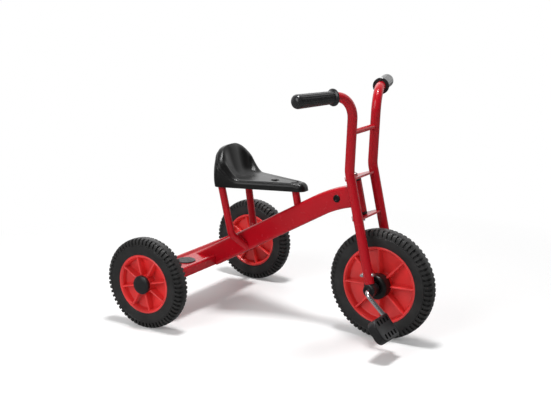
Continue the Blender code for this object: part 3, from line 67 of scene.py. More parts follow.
# Studio
WHITE = (1.0, 1.0, 1.0, 1.0)
FLOOR_SIZE = 14.0
FLOOR_COLOUR = (0.86, 0.86, 0.86)
FLOOR_ROUGHNESS = 0.9
FLOOR_GLOW = 0.16
FLOOR_MIRRORED = 0.3
FLOOR_NEAR = 0.7
FLOOR_FAR = 1.35
WORLD_STRENGTH = 0.2
ROOM_STRENGTH = 0.1
BACKDROP_SIDE = (-0.53, 0.85, 0)
BACKDROP_START = 0.05
BACKDROP_FULL = 0.45
LIGHTS = (
    ("key", (0.15, -0.25, 3.3), 0.6, 76.0),
    ("front", (-0.6, -3.1, 2.0), 2.2, 54.0),
    ("back", (-1.9, 2.3, 2.3), 2.0, 20.0),
)
LIGHT_TARGET = Vector((0, 0, 0.2))

# Linear colours
RED_PAINT = (0.46, 0.004, 0.012)
RED_PLASTIC = (0.68, 0.034, 0.034)
BLACK_PLASTIC = (0.009, 0.009, 0.01)
SEAT_BLACK = (0.004, 0.004, 0.004)
PAD_GREY = (0.026, 0.026, 0.027)
TYRE_BLACK = (0.018, 0.0177, 0.0176)
GRIP_BLACK = (0.012, 0.012, 0.013)
CHROME = (0.82, 0.82, 0.84)
ZINC = (0.55, 0.55, 0.53)

# Clearance between pieces
WELD_GAP = 0.0003

# Steering head and fork
FORK_OFFSET = 0.026
HEAD_ABOVE_AXLE = 0.2326
HEAD_TUBE_RADIUS = 0.0175
HEAD_TUBE_BORE = 0.0125
HEAD_LENGTH = 0.082
BUSH_FLANGE = 0.007
KINGPIN_RADIUS = 0.006
FORK_RADIUS = 0.0125
FORK_HALF = 0.063
KNEE_HEIGHT = 0.0726
KNEE_ANGLE = radians(15.0)
KNEE_RADIUS = 0.07
UPRIGHT_LENGTH = 0.193
BAR_BEND = 0.06
BAR_SWEEP = radians(18.6)
BAR_STRAIGHT = 0.006
CROSS_TUBE_RADIUS = 0.007
CROSS_ABOVE_KNEE = 0.0985

# Grips
GRIP_LENGTH = 0.128
GRIP_ROOT_RADIUS = 0.016
GRIP_TIP_RADIUS = 0.0178
GRIP_FLANGE = (
    (0.0205, 0), (0.0215, 0.001), (0.0215, 0.004), (0.0205, 0.005), (0.018, 0.0056),
)
GRIP_BODY = 0.0076
GRIP_BORE_DEPTH = 0.03
GRIP_END_WALL = 0.009
GRIP_END_ROUND = 0.013
GRIP_END_HEIGHT = 0.0125
GRIP_END_FLAT = 0.002
GRIP_FLUTES = 18
GRIP_FLUTE_DEPTH = 0.0006
GRIP_FLUTE_START = (0.011, 0.017)
GRIP_FLUTE_END = (GRIP_LENGTH - 0.019, GRIP_LENGTH - 0.012)
GRIP_SIDES_PER_FLUTE = 6
GRIP_BODY_STEPS = 12
GRIP_END_STEPS = 8

# Front axle bearings and their bolts
LEG_END_RISE = 0.0172
LEG_BORE_RADIUS = 0.0105
LEG_BORE_DEPTH = 0.034
BEARING_OUTER_FACE = 0.0765
BEARING_PLUG_ENDS = (-0.005, 0.033)
LEG_BOLT_ABOVE_END = 0.022
LEG_BOLT_SINK = 0.0006
LEG_BOLT_HEAD = 0.0049
LEG_NUT_RADIUS = 0.0062
LEG_NUT_LENGTH = 0.011
LEG_NUT_HEX_SHARE = 0.45
LEG_NUT_EDGE = 0.0005
LEG_DOME_RADIUS = 0.0047
LEG_DOME_STEPS = 8

# Crank and pedals
CRANK_ROD = 0.00625
CRANK_HALF_WIDTH = 0.09
CRANK_AXLE_BEND = 0.014
CRANK_PIN_BEND = 0.0085
CRANK_PIN_SHARE = 0.85
PEDAL_FACE = 0.099
PEDAL_LENGTH = 0.08
PEDAL_WIDTH = 0.062
PEDAL_THICKNESS = 0.024
PEDAL_ROUND = 0.02
PEDAL_INNER_ROUND = 0.004
PEDAL_EDGE = 0.003
PEDAL_TILT = radians(52.0)
PEDAL_WALL = 0.01
SLOT_COUNT = 4
SLOT_PITCH = 0.0155
SLOT_LENGTH = 0.013
SLOT_WIDTH = 0.0075
SLOT_OFFSET = 0.0185
SLOT_ROUND = 0.0018

# Wheels
REAR_WHEEL = {
    "radius": 0.1225, "width": 0.043, "lugs": 60, "rim": 0.08, "rib_phase": radians(14.0),
    "hub": 0.023, "hub_inner": 0.024, "hub_outer": 0.02, "bore": 0.011 + WELD_GAP,
}
FRONT_WHEEL = {
    "radius": 0.145, "width": 0.045, "lugs": 66, "rim": 0.103, "rib_phase": radians(2.0),
    "hub": 0.027, "hub_inner": 0.0135, "hub_outer": 0.0135, "bore": CRANK_ROD + WELD_GAP,
}
BEAD_INSET = 0.0042
RIM_LIP_HEIGHT = 0.004
RIM_LIP_WIDTH = 0.0028
RIM_LIP_RAKE = 0.0009
RIM_WALL = 0.005
RIM_LAND_CUT = 0.004
RIM_EDGE_CUT = 0.0024
RIM_ROUND = 0.0007
RIM_SLOPE = 0.006
RIM_FILLET = 0.002
RIM_DRAFT = 0.002
WEB_THICKNESS = 0.005
WEB_INSET = 0.009
WEB_RIM_DROP = 0.018
WEB_FILLET = 0.003
RIB_COUNT = 8
RIB_ROOT_HALF = 0.0036
RIB_TOP_HALF = 0.0022
RIB_TOP_ROUND = 0.0011
RIB_BELOW_LIP = 0.0015
HUB_DRAFT = 0.002
HUB_ROUND = 0.0015
HUB_CAP_HEIGHT = 0.012
HUB_FLANGE_TOP = 0.0437

# Half section of a tyre from the bead to the crown: inset from the side, drop below the tread and
# slot depth, in millimetres
TYRE_SIDE = (
    (4.2, 46.3, 0), (2.9, 44.0, 0), (0.9, 38.5, 0), (0, 30.5, 0), (0.1, 23.5, 0),
    (0.5, 19.2, 0), (1.6, 18.4, 0), (0.9, 17.3, 0), (1.0, 16.2, 0.6), (1.2, 15.0, 4.2),
    (1.7, 11.0, 5.2), (2.6, 7.2, 5.6), (4.0, 4.2, 5.6), (6.2, 2.2, 5.2), (9.0, 1.1, 4.8),
    (12.4, 0.6, 4.2), (13.5, 0.45, 1.2), (14.2, 0.35, 0), (14.8, 1.3, 0), (15.5, 0.25, 0),
    (18.5, 0.05, 0), (21.0, 0, 0),
)
TYRE_SLOT_CENTRE = (0.014, 0.02)

# Places round one lug as a share of its pitch, and how open the slot is there
LUG_STATIONS = ((0, 0), (0.51, 0), (0.56, 1.0), (0.95, 1.0))

# Main beam
BEAM_HEIGHT = 0.0565
BEAM_WIDTH = 0.034
BEAM_ROUND = 0.0085
BEAM_BEND = 0.33
BEAM_HEAD_STRAIGHT = 0.018
BEAM_AT_HEAD = 0.002
BEAM_TAIL_REACH = 0.02
BEAM_TAIL_DROP = 0.03085
BEAM_PLUG_FROM_HEAD = 0.052
BEAM_PLUG_HEIGHT = 0.003

# Rear platform
AXLE_TUBE_RADIUS = 0.014
AXLE_TUBE_HALF = 0.2003
DECK_HALF_WIDTH = 0.19
DECK_FRONT = 0.05
DECK_BACK = 0.044
DECK_SHEET = 0.003
DECK_RIM_HEIGHT = 0.006
DECK_RIM_WIDTH = 0.01
DECK_FRONT_DROP = 0.027
DECK_BACK_DROP = 0.016
DECK_ROUND = 0.007
PAD_RADIUS = 0.027
PAD_HEIGHT = 0.003
PAD_FROM_CENTRE = 0.088
PAD_GROOVES = (0.0085, 0.0145, 0.0205)

# Sections across a groove and at the edge of a step pad: distance outwards and drop
PAD_GROOVE = ((-0.0009, 0), (-0.0004, 0.0006), (0.0004, 0.0006), (0.0009, 0))
PAD_EDGE = ((-0.0016, 0), (-0.0005, 0.0005), (0, 0.0016), (0, PAD_HEIGHT))

# Seat and its supports
SEAT_BASE_Z = 0.361
SEAT_SIDE = 0.022
SEAT_BACK_RISE = 0.082
SEAT_PAN_DROP = 0.003
SEAT_WALL = 0.0035
SEAT_REAR_X = 0.074
SEAT_CORNER = (0.1, 0.086)
SEAT_NOSE_X = 0.335
SEAT_EDGE = ((SEAT_REAR_X, 0), (SEAT_REAR_X, 0.045), SEAT_CORNER, (SEAT_NOSE_X, 0.018), (SEAT_NOSE_X, 0))
SEAT_EDGE_ROUNDS = (0.07, 0.014, 0.0172)
SEAT_BACK_WRAP = 0.152
SEAT_WRAP_POWER = 1.5
SEAT_MEDIAL_REAR_X = 0.17
SEAT_MEDIAL_FRONT_X = 0.305
SEAT_SIDE_LEAN = 0.001
SEAT_BACK_BULGE = 0.0045
SEAT_GROOVE_DEPTH = 0.0022
SEAT_GROOVE_ANGLE = radians(33.0)
SEAT_GROOVE_SPREAD = radians(7.0)
SEAT_INNER_SLOPE = ((0, 1.0), (0.09, 0.88), (0.21, 0.5), (0.36, 0.18), (0.62, 0.03), (1.0, 0))
SEAT_SIDE_ROLL = 0.012
SEAT_NOSE_ROLL = 0.017
SEAT_NOSE_ROLL_RUN = 0.035
SEAT_ROLL_FADE = (0, 0.7)
SEAT_GROOVE_FADE = (0.05, 0.5)
SEAT_BACK_ROLL = 0.0215
SEAT_STEPS = 90
SEAT_ARC_STEPS = 40
SEAT_WALL_STEPS = 7
SEAT_ROLL_STEPS = 18
SEAT_SLOPE_STEPS = 26
SEAT_SLOPE_CROWDING = 1.3
SEAT_POST_RADIUS = 0.01
SEAT_POST_LEAN = radians(11.0)
SEAT_POST_SINK = 0.012
SUPPORT_BEHIND = 0.0045
SUPPORT_INSIDE = 0.0223
SUPPORT_FOOT_X = 0.155
SUPPORT_FOOT_DROP = 0.021
SUPPORT_FOOT_SINK = 0.005
SUPPORT_KNEE = (-0.0235, 0.043, 0.042)
SUPPORT_ROUND = 0.03
CARRIER_THICKNESS = 0.004
SEAT_BOLT_X = {"front": 0.2985, "middle": 0.237}
SEAT_BOLT_LENGTH = {"front": 0.022, "middle": 0.011}
SEAT_BOLT_TOP = 0.0036
SEAT_BOLT_SHANK_RADIUS = 0.0035

# Turned pieces, as corners of (radius, drop below the outer face, rounding if any)
HEAD_TUBE = (
    (HEAD_TUBE_BORE, 0), (HEAD_TUBE_RADIUS, 0, 0.0012),
    (HEAD_TUBE_RADIUS, HEAD_LENGTH, 0.0012), (HEAD_TUBE_BORE, HEAD_LENGTH),
)
HEAD_BUSH = (
    (KINGPIN_RADIUS, 0), (HEAD_TUBE_RADIUS, 0, 0.002),
    (HEAD_TUBE_RADIUS, BUSH_FLANGE, 0.0008), (HEAD_TUBE_BORE - WELD_GAP, BUSH_FLANGE),
    (HEAD_TUBE_BORE - WELD_GAP, 0.021), (KINGPIN_RADIUS, 0.021),
)
BEARING_EYE = (
    (CRANK_ROD, 0.0025), (0.0105, 0.0025, 0.001), (0.012, 0, 0.0012),
    (0.0166, 0, 0.003), (0.0166, 0.03, 0.001), (CRANK_ROD, 0.03),
)
BEARING_COLLAR = (
    (0, WELD_GAP), (FORK_RADIUS, WELD_GAP, 0.0008),
    (FORK_RADIUS, LEG_END_RISE), (0, LEG_END_RISE),
)
LEG_BOLT = (
    (0, 0.0015), (0.0018, 0.0015), (0.0022, 0, 0.0004), (0.0055, 0.0008, 0.0026),
    (0.0055, LEG_BOLT_HEAD), (0, LEG_BOLT_HEAD),
)
HUB_CAP = (
    (0, 0), (0.017, 0.0004, 0.008), (0.025, 0.003, 0.0035),
    (0.025, HUB_CAP_HEIGHT, 0.0008), (0, HUB_CAP_HEIGHT),
)
HUB_FLANGE = (
    (CRANK_ROD, 0.007), (0.0145, 0.007, 0.002), (0.0185, 0, 0.005),
    (0.0325, 0, 0.008), (0.0325, 0.0299, 0.001), (CRANK_ROD, 0.0299),
)
BEAM_PLUG = (
    (0, 0.0018), (0.004, 0.0018, 0.002), (0.0058, 0, 0.0012), (0.01, 0.0006, 0.0018),
    (0.01, 0.004), (0, 0.004),
)
AXLE_TUBE = (
    (0.0115, 0), (AXLE_TUBE_RADIUS, 0, 0.0008),
    (AXLE_TUBE_RADIUS, 2 * AXLE_TUBE_HALF, 0.0008), (0.0115, 2 * AXLE_TUBE_HALF),
)
SEAT_BOLT = (
    (0, 0), (0.003, 0.0001), (0.007, 0.001, 0.0022), (0.007, 0.0058), (0, 0.0058),
)
SEAT_DIMPLE = (
    (0, -0.004), (0.016, -0.004), (0.0121, -0.0002), (0.0109, 0.0006),
    (0.0105, 0.0022), (0, 0.0022),
)

# Facet counts, the angle in degrees past which an edge is sharp, and tolerances
TUBE_SIDES = 32
ROD_SIDES = 24
TURN_STEPS = 64
DISC_STEPS = 96
SMALL_STEPS = 32
SHARP_ANGLE = 40
TYRE_SHARP_ANGLE = 32
DISC_SHARP_ANGLE = 35
SEAT_SHARP_ANGLE = 50
MERGE_DISTANCE = 0.000002
SEAT_MERGE = 0.0001
TINY = 1e-9

# Values that follow
DECK_Z = REAR_Z + AXLE_TUBE_RADIUS + WELD_GAP + DECK_SHEET
RIM_Z = DECK_Z + DECK_RIM_HEIGHT
SEAT_PAN_Z = SEAT_BASE_Z + SEAT_SIDE - SEAT_PAN_DROP
CARRIER_LOW_Z = SEAT_PAN_Z - SEAT_WALL - WELD_GAP - CARRIER_THICKNESS
STEERING_AXES = Matrix((STEER_FORWARD, Y, STEER_AXIS)).transposed()
STEERING = Matrix.Translation(HEAD) @ STEERING_AXES.to_4x4()
FROM_AXLE = Matrix.Translation((REAR_X, 0, 0))


# Materials

def add_node(tree, kind, values=None, links=None, **settings):
    """A shader node with its settings, the values of its inputs and the outputs linked to them."""
    node = tree.nodes.new("ShaderNode" + kind)
    for name, setting in settings.items():
        setattr(node, name, setting)
    for name, value in (values or {}).items():
        node.inputs[name].default_value = value
    for name, output in (links or {}).items():
        tree.links.new(output, node.inputs[name])
    return node


class Shader:
    """A Principled material built from procedural nodes in object coordinates."""

    def __init__(self, name, colour, roughness, metallic=0):
        self.material = bpy.data.materials.new(name)
        self.material.use_nodes = True
        self.tree = self.material.node_tree
        self.base = self.tree.nodes["Principled BSDF"]
        self.place = add_node(self.tree, "TexCoord").outputs["Object"]
        self.colour = colour
        self.roughness = roughness
        self.set("Base Color", (*colour, 1.0))
        self.set("Roughness", roughness)
        self.set("Metallic", metallic)

    def set(self, name, value):
        self.base.inputs[name].default_value = value

    def drive(self, name, output):
        self.tree.links.new(output, self.base.inputs[name])

    def noise(self, scale, detail=3.0, rough=0.5):
        values = {"Scale": scale, "Detail": detail, "Roughness": rough}
        return add_node(self.tree, "TexNoise", values, {"Vector": self.place}).outputs["Fac"]

    def grain(self, scale):
        """Rounded pebbles, for the skin of a moulded surface."""
        links = {"Vector": self.place}
        node = add_node(self.tree, "TexVoronoi", {"Scale": scale}, links, feature="SMOOTH_F1")
        return node.outputs["Distance"]

    def ramp(self, value, low, high, start, end):
        """Maps value from low..high to start..end."""
        values = {"From Min": low, "From Max": high, "To Min": start, "To Max": end}
        return add_node(self.tree, "MapRange", values, {"Value": value}).outputs["Result"]

    def patches(self, scale, factor, low=0.35, high=0.65, detail=3.0):
        """Mixes the colour towards a lighter or darker one in soft patches."""
        share = self.ramp(self.noise(scale, detail), low, high, 0, 1.0)
        other = tuple(channel * factor for channel in self.colour)
        values = {"A": (*self.colour, 1.0), "B": (*other, 1.0)}
        mix = add_node(self.tree, "Mix", values, {"Factor": share}, data_type="RGBA")
        self.drive("Base Color", mix.outputs["Result"])

    def uneven(self, scale, spread):
        """Lets the roughness wander by the spread to each side."""
        low, high = self.roughness - spread, self.roughness + spread
        self.drive("Roughness", self.ramp(self.noise(scale), 0.3, 0.7, low, high))

    def bump(self, value, strength, distance):
        values = {"Strength": strength, "Distance": distance}
        self.drive("Normal", add_node(self.tree, "Bump", values, {"Height": value}).outputs["Normal"])


def red_paint():
    """Powder coat: glossy, with a faint orange peel."""
    shader = Shader("red_paint", RED_PAINT, 0.26)
    shader.patches(scale=5.0, factor=1.05)
    shader.uneven(scale=60.0, spread=0.02)
    shader.bump(shader.noise(500.0, 2.0), strength=0.02, distance=0.0004)
    shader.set("Specular IOR Level", 0.3)
    shader.set("Coat Weight", 0.15)
    shader.set("Coat Roughness", 0.08)
    return shader.material


def moulded(name, colour, roughness, grain):
    """Moulded plastic: a fine grain and slow changes in sheen."""
    shader = Shader(name, colour, roughness)
    shader.patches(scale=14.0, factor=1.25)
    shader.uneven(scale=38.0, spread=0.05)
    shader.bump(shader.noise(grain, 4.0, 0.6), strength=0.2, distance=0.0004)
    return shader.material


def seat_shell():
    """Smooth black plastic of the seat, its bolts, the hub flanges and the beam plugs."""
    shader = Shader("seat_skin", SEAT_BLACK, 0.34)
    shader.patches(scale=14.0, factor=1.25)
    shader.uneven(scale=38.0, spread=0.02)
    shader.bump(shader.noise(600.0, 2.0), strength=0.05, distance=0.00001)
    shader.set("Specular IOR Level", 0.34)
    return shader.material


def tyre_rubber():
    """Solid rubber tyre: dull, with a little dust in the grain."""
    shader = Shader("tyre_rubber", TYRE_BLACK, 0.5)
    shader.patches(scale=26.0, factor=1.7, low=0.42, high=0.75, detail=5.0)
    shader.uneven(scale=70.0, spread=0.07)
    shader.bump(shader.noise(900.0, 4.0), strength=0.25, distance=0.0005)
    shader.set("Specular IOR Level", 0.38)
    return shader.material


def pebbled(name, colour, roughness, scale, depth):
    """Rubber with a pebbled skin."""
    shader = Shader(name, colour, roughness)
    shader.patches(scale=22.0, factor=1.4, high=0.7, detail=4.0)
    shader.uneven(scale=90.0, spread=0.06)
    shader.bump(shader.grain(scale), strength=0.15, distance=depth)
    return shader.material


def bright_metal(name, colour, roughness):
    """Plated metal with a faint brushing."""
    shader = Shader(name, colour, roughness, metallic=1.0)
    shader.patches(scale=30.0, factor=0.92)
    shader.uneven(scale=120.0, spread=roughness * 0.4)
    shader.bump(shader.noise(1500.0, 2.0), strength=0.04, distance=0.0002)
    return shader.material


FINISHES = {
    "red_paint": red_paint(),
    "red_plastic": moulded("red_plastic", RED_PLASTIC, 0.34, 700.0),
    "black_plastic": moulded("black_plastic", BLACK_PLASTIC, 0.36, 900.0),
    "tyre_rubber": tyre_rubber(),
    "grip_rubber": pebbled("grip_rubber", GRIP_BLACK, 0.28, 1400.0, 0.0001),
    "chrome": bright_metal("chrome", CHROME, 0.09),
    "zinc_steel": bright_metal("zinc_steel", ZINC, 0.32),
}
SEAT_SKIN = seat_shell()
PAD_SKIN = pebbled("pad_skin", PAD_GREY, 0.55, 700.0, 0.0005)


# Paths and outlines

def rounded_path(corners, radii, steps):
    """Straight runs through the corners, with an arc of the given radius at each inner corner."""
    points = [Vector(corners[0])]
    for before, corner, after, radius in zip(corners, corners[1:], corners[2:], radii):
        corner = Vector(corner)
        incoming = (corner - Vector(before)).normalized()
        outgoing = (Vector(after) - corner).normalized()
        turn = incoming.angle(outgoing)
        if radius == 0 or turn < TINY:
            points.append(corner)
            continue
        start = corner - incoming * (radius * tan(turn / 2))
        side = (outgoing - incoming * incoming.dot(outgoing)).normalized()
        for step in range(steps + 1):
            angle = turn * step / steps
            along = incoming * (radius * sin(angle))
            points.append(start + along + side * (radius * (1 - cos(angle))))
    points.append(Vector(corners[-1]))
    return points


def rounded_outline(corners, steps):
    """A closed flat outline as (x, y) pairs. A corner is (x, y), or (x, y, radius of its arc)."""
    points = []
    for index, (_, _, *arc) in enumerate(corners):
        ring = (corners[index - 1], corners[index], corners[(index + 1) % len(corners)])
        points += rounded_path([(x, y, 0) for x, y, *_ in ring], arc or [0], steps)[1:-1]
    return [(point.x, point.y) for point in points]


def rectangle(low, high, low_round, high_round):
    """Corners of a rectangle, with the rounding of its low and of its high side in y."""
    return [(low[0], low[1], low_round), (high[0], low[1], low_round),
            (high[0], high[1], high_round), (low[0], high[1], high_round)]


def rod(radius, low, high):
    """The half section of a plain rod, as (radius, height) points."""
    return [(0, high), (radius, high), (radius, low), (0, low)]


def turned_ring(profile, turn, place):
    """A profile of (radius, height) points turned round the placed Z axis by a share of a turn."""
    x, y = cos(2 * pi * turn), sin(2 * pi * turn)
    return [place @ Vector((radius * x, radius * y, height)) for radius, height in profile]


def direction_at(path, index):
    """The direction of a path at one of its points."""
    return (path[min(index + 1, len(path) - 1)] - path[max(index - 1, 0)]).normalized()


def smooth_step(value, low, high):
    share = min(max((value - low) / (high - low), 0), 1.0)
    return share * share * (3 - 2 * share)


# Mesh code

def add_object(name, data):
    item = bpy.data.objects.new(name, data)
    bpy.context.scene.collection.objects.link(item)
    return item


def to_mesh(build, name):
    mesh = bpy.data.meshes.new(name)
    build.to_mesh(mesh)
    build.free()
    return mesh


def smoothed(mesh, angle):
    """The mesh shaded smooth, apart from edges past the angle in degrees."""
    mesh.shade_smooth()
    mesh.set_sharp_from_angle(angle=radians(angle))
    return mesh


class Form:
    """The closed shells of one piece, built in the frame's coordinates."""

    def __init__(self):
        self.build = bmesh.new()

    def skin(self, rings, loop=False):
        """Faces between rings of equal length. A loop joins the last ring to the first."""
        rows = [[self.build.verts.new(point) for point in ring] for ring in rings]
        pairs = list(zip(rows, rows[1:]))
        if loop:
            pairs.append((rows[-1], rows[0]))
        else:
            self.build.faces.new(rows[0])
            self.build.faces.new(rows[-1])
        for row, following in pairs:
            for place in range(len(row)):
                after = (place + 1) % len(row)
                self.build.faces.new((row[place], row[after], following[after], following[place]))

    def turned(self, profile, place, steps=TURN_STEPS):
        """Turns a closed profile of (radius, height) points round the placed Z axis."""
        self.skin([turned_ring(profile, step / steps, place) for step in range(steps)], loop=True)

    def tube(self, path, radius, sides=TUBE_SIDES, bore=None, floor=None):
        """A bar along the path. The floor is a height where its first end is cut level.
        A bore of (radius, depth) opens the first end."""
        rings = []
        normal = direction_at(path, 0).orthogonal()
        for index, point in enumerate(path):
            along = direction_at(path, index)
            normal = (normal - along * normal.dot(along)).normalized()
            across = along.cross(normal)
            ring = []
            for side in range(sides):
                angle = 2 * pi * side / sides
                ring.append(point + (normal * cos(angle) + across * sin(angle)) * radius)
            rings.append(ring)
        along = direction_at(path, 0)
        if bore:
            reach, depth = bore
            inner = [path[0] + (corner - path[0]) * (reach / radius) for corner in rings[0]]
            rings = [[corner + along * depth for corner in inner], inner] + rings
        if floor is not None:
            rings[0] = [corner + along * ((floor - corner.z) / along.z) for corner in rings[0]]
        self.skin(rings)

    def prism(self, outline, low, high, place, edge=0, steps=3):
        """A plate with the given outline, and with its two edges rounded."""
        corners = [Vector((x, y, 0)) for x, y in outline]
        centre = sum(corners, Vector()) / len(corners)
        rings = []
        for end, sign in ((low, 1), (high, -1)):
            for step in range(steps + 1) if edge else [steps]:
                angle = pi / 2 * (step if sign == 1 else steps - step) / steps
                inset = edge * (1 - sin(angle))
                lift = edge * (1 - cos(angle)) if edge else 0
                rings.append(shrunk(corners, centre, inset, end + sign * lift, place))
        self.skin(rings)

    def lathe(self, corners, arc_steps, place, face=0, steps=TURN_STEPS):
        """Turns corners of (radius, drop below the face, rounding if any) round the placed Z axis."""
        corners = [(radius, face - drop, *arc) for radius, drop, *arc in corners]
        self.turned(rounded_outline(corners, arc_steps), place, steps)

    def mesh(self, name, angle=SHARP_ANGLE):
        bmesh.ops.remove_doubles(self.build, verts=self.build.verts, dist=MERGE_DISTANCE)
        bmesh.ops.recalc_face_normals(self.build, faces=self.build.faces)
        return smoothed(to_mesh(self.build, name), angle)

    def show(self, name, finish, body, material=None, angle=SHARP_ANGLE):
        show(name, self.mesh(name, angle), finish, body, material)


def shrunk(corners, centre, inset, height, place):
    """A ring of corners moved inwards by the inset, at a height."""
    ring = []
    for before, here, after in zip(corners[-1:] + corners, corners, corners[1:] + corners[:1]):
        along = (after - before).normalized()
        inward = Vector((-along.y, along.x, 0))
        if inward.dot(centre - here) < 0:
            inward = -inward
        ring.append(place @ (here + inward * inset + Z * height))
    return ring


def show(name, mesh, finish, body, material=None):
    """Makes a piece that stands for the node of that name."""
    piece = add_object("fine_" + name, mesh)
    mesh.materials.append(material or FINISHES[finish])
    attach(piece, body)
    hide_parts(name)


def show_turned(name, turned, finish, body, material=None):
    """A piece made by one lathe call with these arguments."""
    form = Form()
    form.lathe(*turned)
    form.show(name, finish, body, material)


def show_tube(name, path, radius, body, **ends):
    """A red tube along the path."""
    form = Form()
    form.tube(path, radius, **ends)
    form.show(name, "red_paint", body)


def applied(item, tools=()):
    """The mesh of an object with its modifiers applied. The object and its tools are removed."""
    graph = bpy.context.evaluated_depsgraph_get()
    mesh = bpy.data.meshes.new_from_object(item.evaluated_get(graph))
    for extra in [item, *tools]:
        bpy.data.objects.remove(extra, do_unlink=True)
    return mesh


def cut(name, mesh, cutters, angle=SHARP_ANGLE):
    """The mesh with each cutter form taken out of it."""
    target = add_object(name, mesh)
    tools = []
    for index, form in enumerate(cutters):
        tools.append(add_object(f"{name}_cutter_{index}", form.mesh("cutter", angle)))
        modifier = target.modifiers.new(f"cut_{index}", "BOOLEAN")
        modifier.operation = "DIFFERENCE"
        modifier.solver = "EXACT"
        modifier.object = tools[-1]
    return smoothed(applied(target, tools), angle)


def mirrored(side, point):
    """The point on the left, or its mirror image on the right."""
    x, y, z = point
    return Vector((x, side * y, z))


def across(centre, side):
    """A frame at the centre whose Z axis points to that side of the tricycle."""
    return Matrix.Translation(centre) @ Matrix.Rotation(-side * pi / 2, 4, "X")


# Wheels

def build_tyre(name, body, centre, side, wheel):
    """Solid tyre: smooth side, slots across the shoulder and a plain tread between fine grooves."""
    half = wheel["width"] / 2
    radius = wheel["radius"]
    middle = Vector((half - TYRE_SLOT_CENTRE[0], radius - TYRE_SLOT_CENTRE[1]))
    place = across(centre, side)
    rings = []
    for index in range(wheel["lugs"]):
        for share, open_share in LUG_STATIONS:
            section = []
            for inset, drop, depth in TYRE_SIDE:
                point = Vector((half - inset / 1000, radius - drop / 1000))
                point += (middle - point).normalized() * (depth / 1000 * open_share)
                section.append((point.y, point.x))
            section += [(reach, -height) for reach, height in reversed(section)]
            rings.append(turned_ring(section, (index + share) / wheel["lugs"], place))
    form = Form()
    form.skin(rings, loop=True)
    form.show(name, "tyre_rubber", body, angle=TYRE_SHARP_ANGLE)


def build_disc(name, body, centre, side, wheel):
    """Moulded wheel disc: two lipped rims, a dished web and ribs nearly as high as the lip."""
    bore, hub, rim = wheel["bore"], wheel["hub"], wheel["rim"]
    seat = rim - RIM_LIP_HEIGHT - WELD_GAP
    lip = wheel["width"] / 2 - BEAD_INSET + WELD_GAP
    rim_inner = seat - RIM_WALL
    web_low = -lip + WEB_INSET
    face = lip + RIM_LIP_WIDTH
    web_rim = face - WEB_RIM_DROP
    land = rim_inner + RIM_LAND_CUT
    edge = rim - RIM_EDGE_CUT
    corners = [
        (bore, wheel["hub_outer"]), (hub, wheel["hub_outer"], HUB_ROUND),
        (hub + HUB_DRAFT, web_low + WEB_THICKNESS, WEB_FILLET),
        (rim_inner - RIM_DRAFT, web_rim, WEB_FILLET), (rim_inner, face - RIM_SLOPE, RIM_FILLET),
        (land, face, RIM_ROUND), (edge, face, RIM_ROUND), (rim, lip + RIM_LIP_RAKE),
        (seat, lip), (seat, -lip), (rim, -lip - RIM_LIP_RAKE), (edge, -face, RIM_ROUND),
        (land, -face, RIM_ROUND), (rim_inner, RIM_SLOPE - face, RIM_FILLET),
        (rim_inner - RIM_DRAFT, web_rim - WEB_THICKNESS, WEB_FILLET),
        (hub + HUB_DRAFT, web_low, WEB_FILLET),
        (hub, -wheel["hub_inner"], HUB_ROUND), (bore, -wheel["hub_inner"]),
    ]
    place = across(centre, side)
    form = Form()
    form.turned(rounded_outline(corners, 4), place, DISC_STEPS)
    high = face - RIB_BELOW_LIP
    outline = rounded_outline([
        (-RIB_ROOT_HALF, 0), (-RIB_TOP_HALF, high, RIB_TOP_ROUND),
        (RIB_TOP_HALF, high, RIB_TOP_ROUND), (RIB_ROOT_HALF, 0),
    ], 3)
    for index in range(RIB_COUNT):
        spoke = place @ Matrix.Rotation(-side * (wheel["rib_phase"] + 2 * pi * index / RIB_COUNT), 4, "Z")
        for face_side in (1, -1):
            form.skin([[spoke @ Vector((reach, y, face_side * z)) for y, z in outline]
                       for reach in (hub - HUB_DRAFT, rim_inner + RIM_WALL / 2)])
    form.show(name, "red_plastic", body, angle=DISC_SHARP_ANGLE)


def build_hub_cap(name, body, centre, side):
    top = REAR_WHEEL["hub_outer"] + WELD_GAP + HUB_CAP_HEIGHT
    show_turned(name, (HUB_CAP, 8, across(centre, side), top), "black_plastic", body)


def build_hub_flange(name, side):
    """Black ring beside the front hub: a thick rolled edge round a dish, as deep as the rib."""
    place = across(FRONT_HUB, side)
    show_turned(name, (HUB_FLANGE, 10, place, HUB_FLANGE_TOP), "black_plastic", "front_wheel", SEAT_SKIN)


def build_wheels():
    for side, name in SIDES:
        rear = (f"rear_wheel_{name}", JOINT_PLACE[f"rear_wheel_{name}_spin"], side)
        build_tyre(f"rear_tyre_{name}", *rear, REAR_WHEEL)
        build_disc(f"rear_disc_{name}", *rear, REAR_WHEEL)
        build_hub_cap(f"hub_cap_{name}", *rear)
        build_hub_flange(f"hub_flange_{name}", side)
    build_tyre("front_tyre", "front_wheel", FRONT_HUB, -1, FRONT_WHEEL)
    build_disc("front_disc", "front_wheel", FRONT_HUB, -1, FRONT_WHEEL)


# Crank and pedals

def build_crank():
    """One chromed rod: pin, arm, axle through the wheel, arm and pin."""
    right = JOINT_PLACE["pedal_right_spin"] - FRONT_HUB
    arm = Vector((right.x, 0, right.z))
    end = Y * CRANK_HALF_WIDTH
    tip = Y * (PEDAL_FACE + CRANK_PIN_SHARE * PEDAL_LENGTH)
    corners = [arm - tip, arm - end, -end, end, end - arm, tip - arm]
    bends = [CRANK_PIN_BEND, CRANK_AXLE_BEND, CRANK_AXLE_BEND, CRANK_PIN_BEND]
    form = Form()
    form.tube([FRONT_HUB + point for point in rounded_path(corners, bends, 12)], CRANK_ROD, ROD_SIDES)
    form.show("crank_axle", "chrome", "front_wheel")


